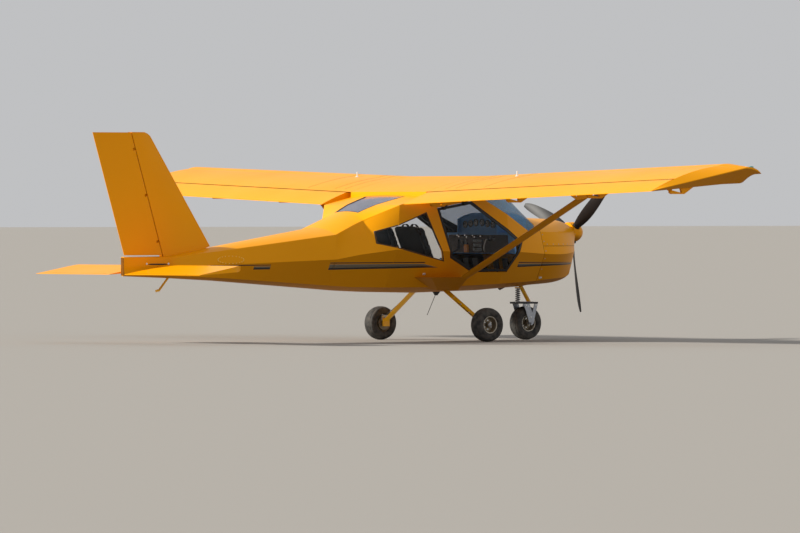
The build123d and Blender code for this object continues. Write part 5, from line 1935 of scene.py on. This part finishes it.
@dataclass
class Studio:
    """Camera, floor and lights.

    The camera stands where the photograph was taken from, and looks at the picture's middle.
    """

    azimuth: float = -37.5744
    elevation: float = 0.8891
    distance: float = 90.0
    scale_px: float = 96.3563
    origin_px: tuple[float, float] = (433.2712, 340.6795)
    frame_px: tuple[float, float] = (800.0, 533.0)
    sensor_mm: float = 36.0
    sight: float = 2000.0
    floor_half: float = 400.0
    floor_colour: Colour = (0.36, 0.34, 0.315, 1)
    floor_rough: float = 0.9
    floor_specular: float = 0.1
    sky_colour: Colour = (0.94, 0.95, 0.97, 1)
    sky_strength: float = 0.56
    key_energy: float = 5.4
    key_angle_deg: float = 5.0
    key_colour: tuple[float, float, float] = (1.0, 0.96, 0.88)
    key_towards: Point = (-0.72, 0.50, 0.44)

    def build(self) -> None:
        """Makes the camera, the floor and the lights."""
        self._camera()
        self._floor()
        self._lights()

    @staticmethod
    def _aim(thing: bpy.types.Object, way: Vector, axis: str) -> None:
        """Turns an object so that its own axis points along a way, with its y axis up."""
        thing.rotation_mode = "QUATERNION"
        thing.rotation_quaternion = way.to_track_quat(axis, "Y")

    def _camera(self) -> None:
        """Aims the camera so that the main axle's ground point lands on its pixel."""
        a, e = math.radians(self.azimuth), math.radians(self.elevation)
        back = Vector((math.sin(a) * math.cos(e), -math.cos(a) * math.cos(e), math.sin(e)))
        right = Vector((math.cos(a), math.sin(a), 0))
        up = back.cross(right)
        focal_px = self.scale_px * self.distance
        off_x = (self.frame_px[0] / 2 - self.origin_px[0]) / focal_px
        off_y = (self.origin_px[1] - self.frame_px[1] / 2) / focal_px
        data = bpy.data.cameras.new("camera")
        data.sensor_width = self.sensor_mm
        data.lens = focal_px * self.sensor_mm / self.frame_px[0]
        data.clip_end = self.sight
        camera = put_object("camera", data)
        camera.location = Vector((DATUM_X, 0, 0)) + back * self.distance
        self._aim(camera, -back + right * off_x + up * off_y, "-Z")
        bpy.context.scene.camera = camera

    def _floor(self) -> None:
        """Lays a plain pale floor under the tyres."""
        h = self.floor_half
        mesh = bpy.data.meshes.new("studio_floor")
        mesh.from_pydata([(-h, -h, 0), (h, -h, 0), (h, h, 0), (-h, h, 0)], [], [(0, 1, 2, 3)])
        material = bpy.data.materials.new("studio_floor")
        material.use_nodes = True
        fill(material.node_tree, material.node_tree.nodes["Principled BSDF"], {
            "Base Color": self.floor_colour, "Roughness": self.floor_rough,
            "Specular IOR Level": self.floor_specular})
        mesh.materials.append(material)
        put_object("studio_floor", mesh)

    def _lights(self) -> None:
        """A soft key from high on the port side, and a wide fill all round."""
        scene = bpy.context.scene
        scene.world = bpy.data.worlds.new("studio")
        scene.world.use_nodes = True
        tree = scene.world.node_tree
        fill(tree, tree.nodes["Background"], {
            "Color": self.sky_colour, "Strength": self.sky_strength})
        sun = bpy.data.lights.new("key", "SUN")
        sun.energy = self.key_energy
        sun.angle = math.radians(self.key_angle_deg)
        sun.color = self.key_colour
        self._aim(put_object("key", sun), Vector(self.key_towards), "Z")
        scene.view_settings.view_transform = "Standard"


def build_all() -> None:
    """Builds the scene round the frame, in order."""
    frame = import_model()
    nodes = frame["nodes"]
    Studio().build()
    Skins().build(frame)
    for wheel in (
        Wheel("main_left", Body.WHEEL_LEFT, "tyre_left", (0.0, 0.907, 0.175), lip_ways=(1,)),
        Wheel("main_right", Body.WHEEL_RIGHT, "tyre_right", (0.0, -0.907, 0.175), lip_ways=(-1,)),
        Wheel("nose", Body.NOSE_WHEEL, "nose_tyre", (1.216, 0.0, 0.175)),
    ):
        wheel.build(nodes)
    NoseLeg().build()
    MainGear().build(nodes)
    Stripes().build(nodes)
    Seams().build(nodes)
    Gaskets().build(nodes)
    Lights().build(nodes)
    SpinnerTrim().build()
    Trim().build(nodes)
    Cabin().build()


if __name__ == "__main__":
    logging.basicConfig(level=logging.INFO)
    build_all()
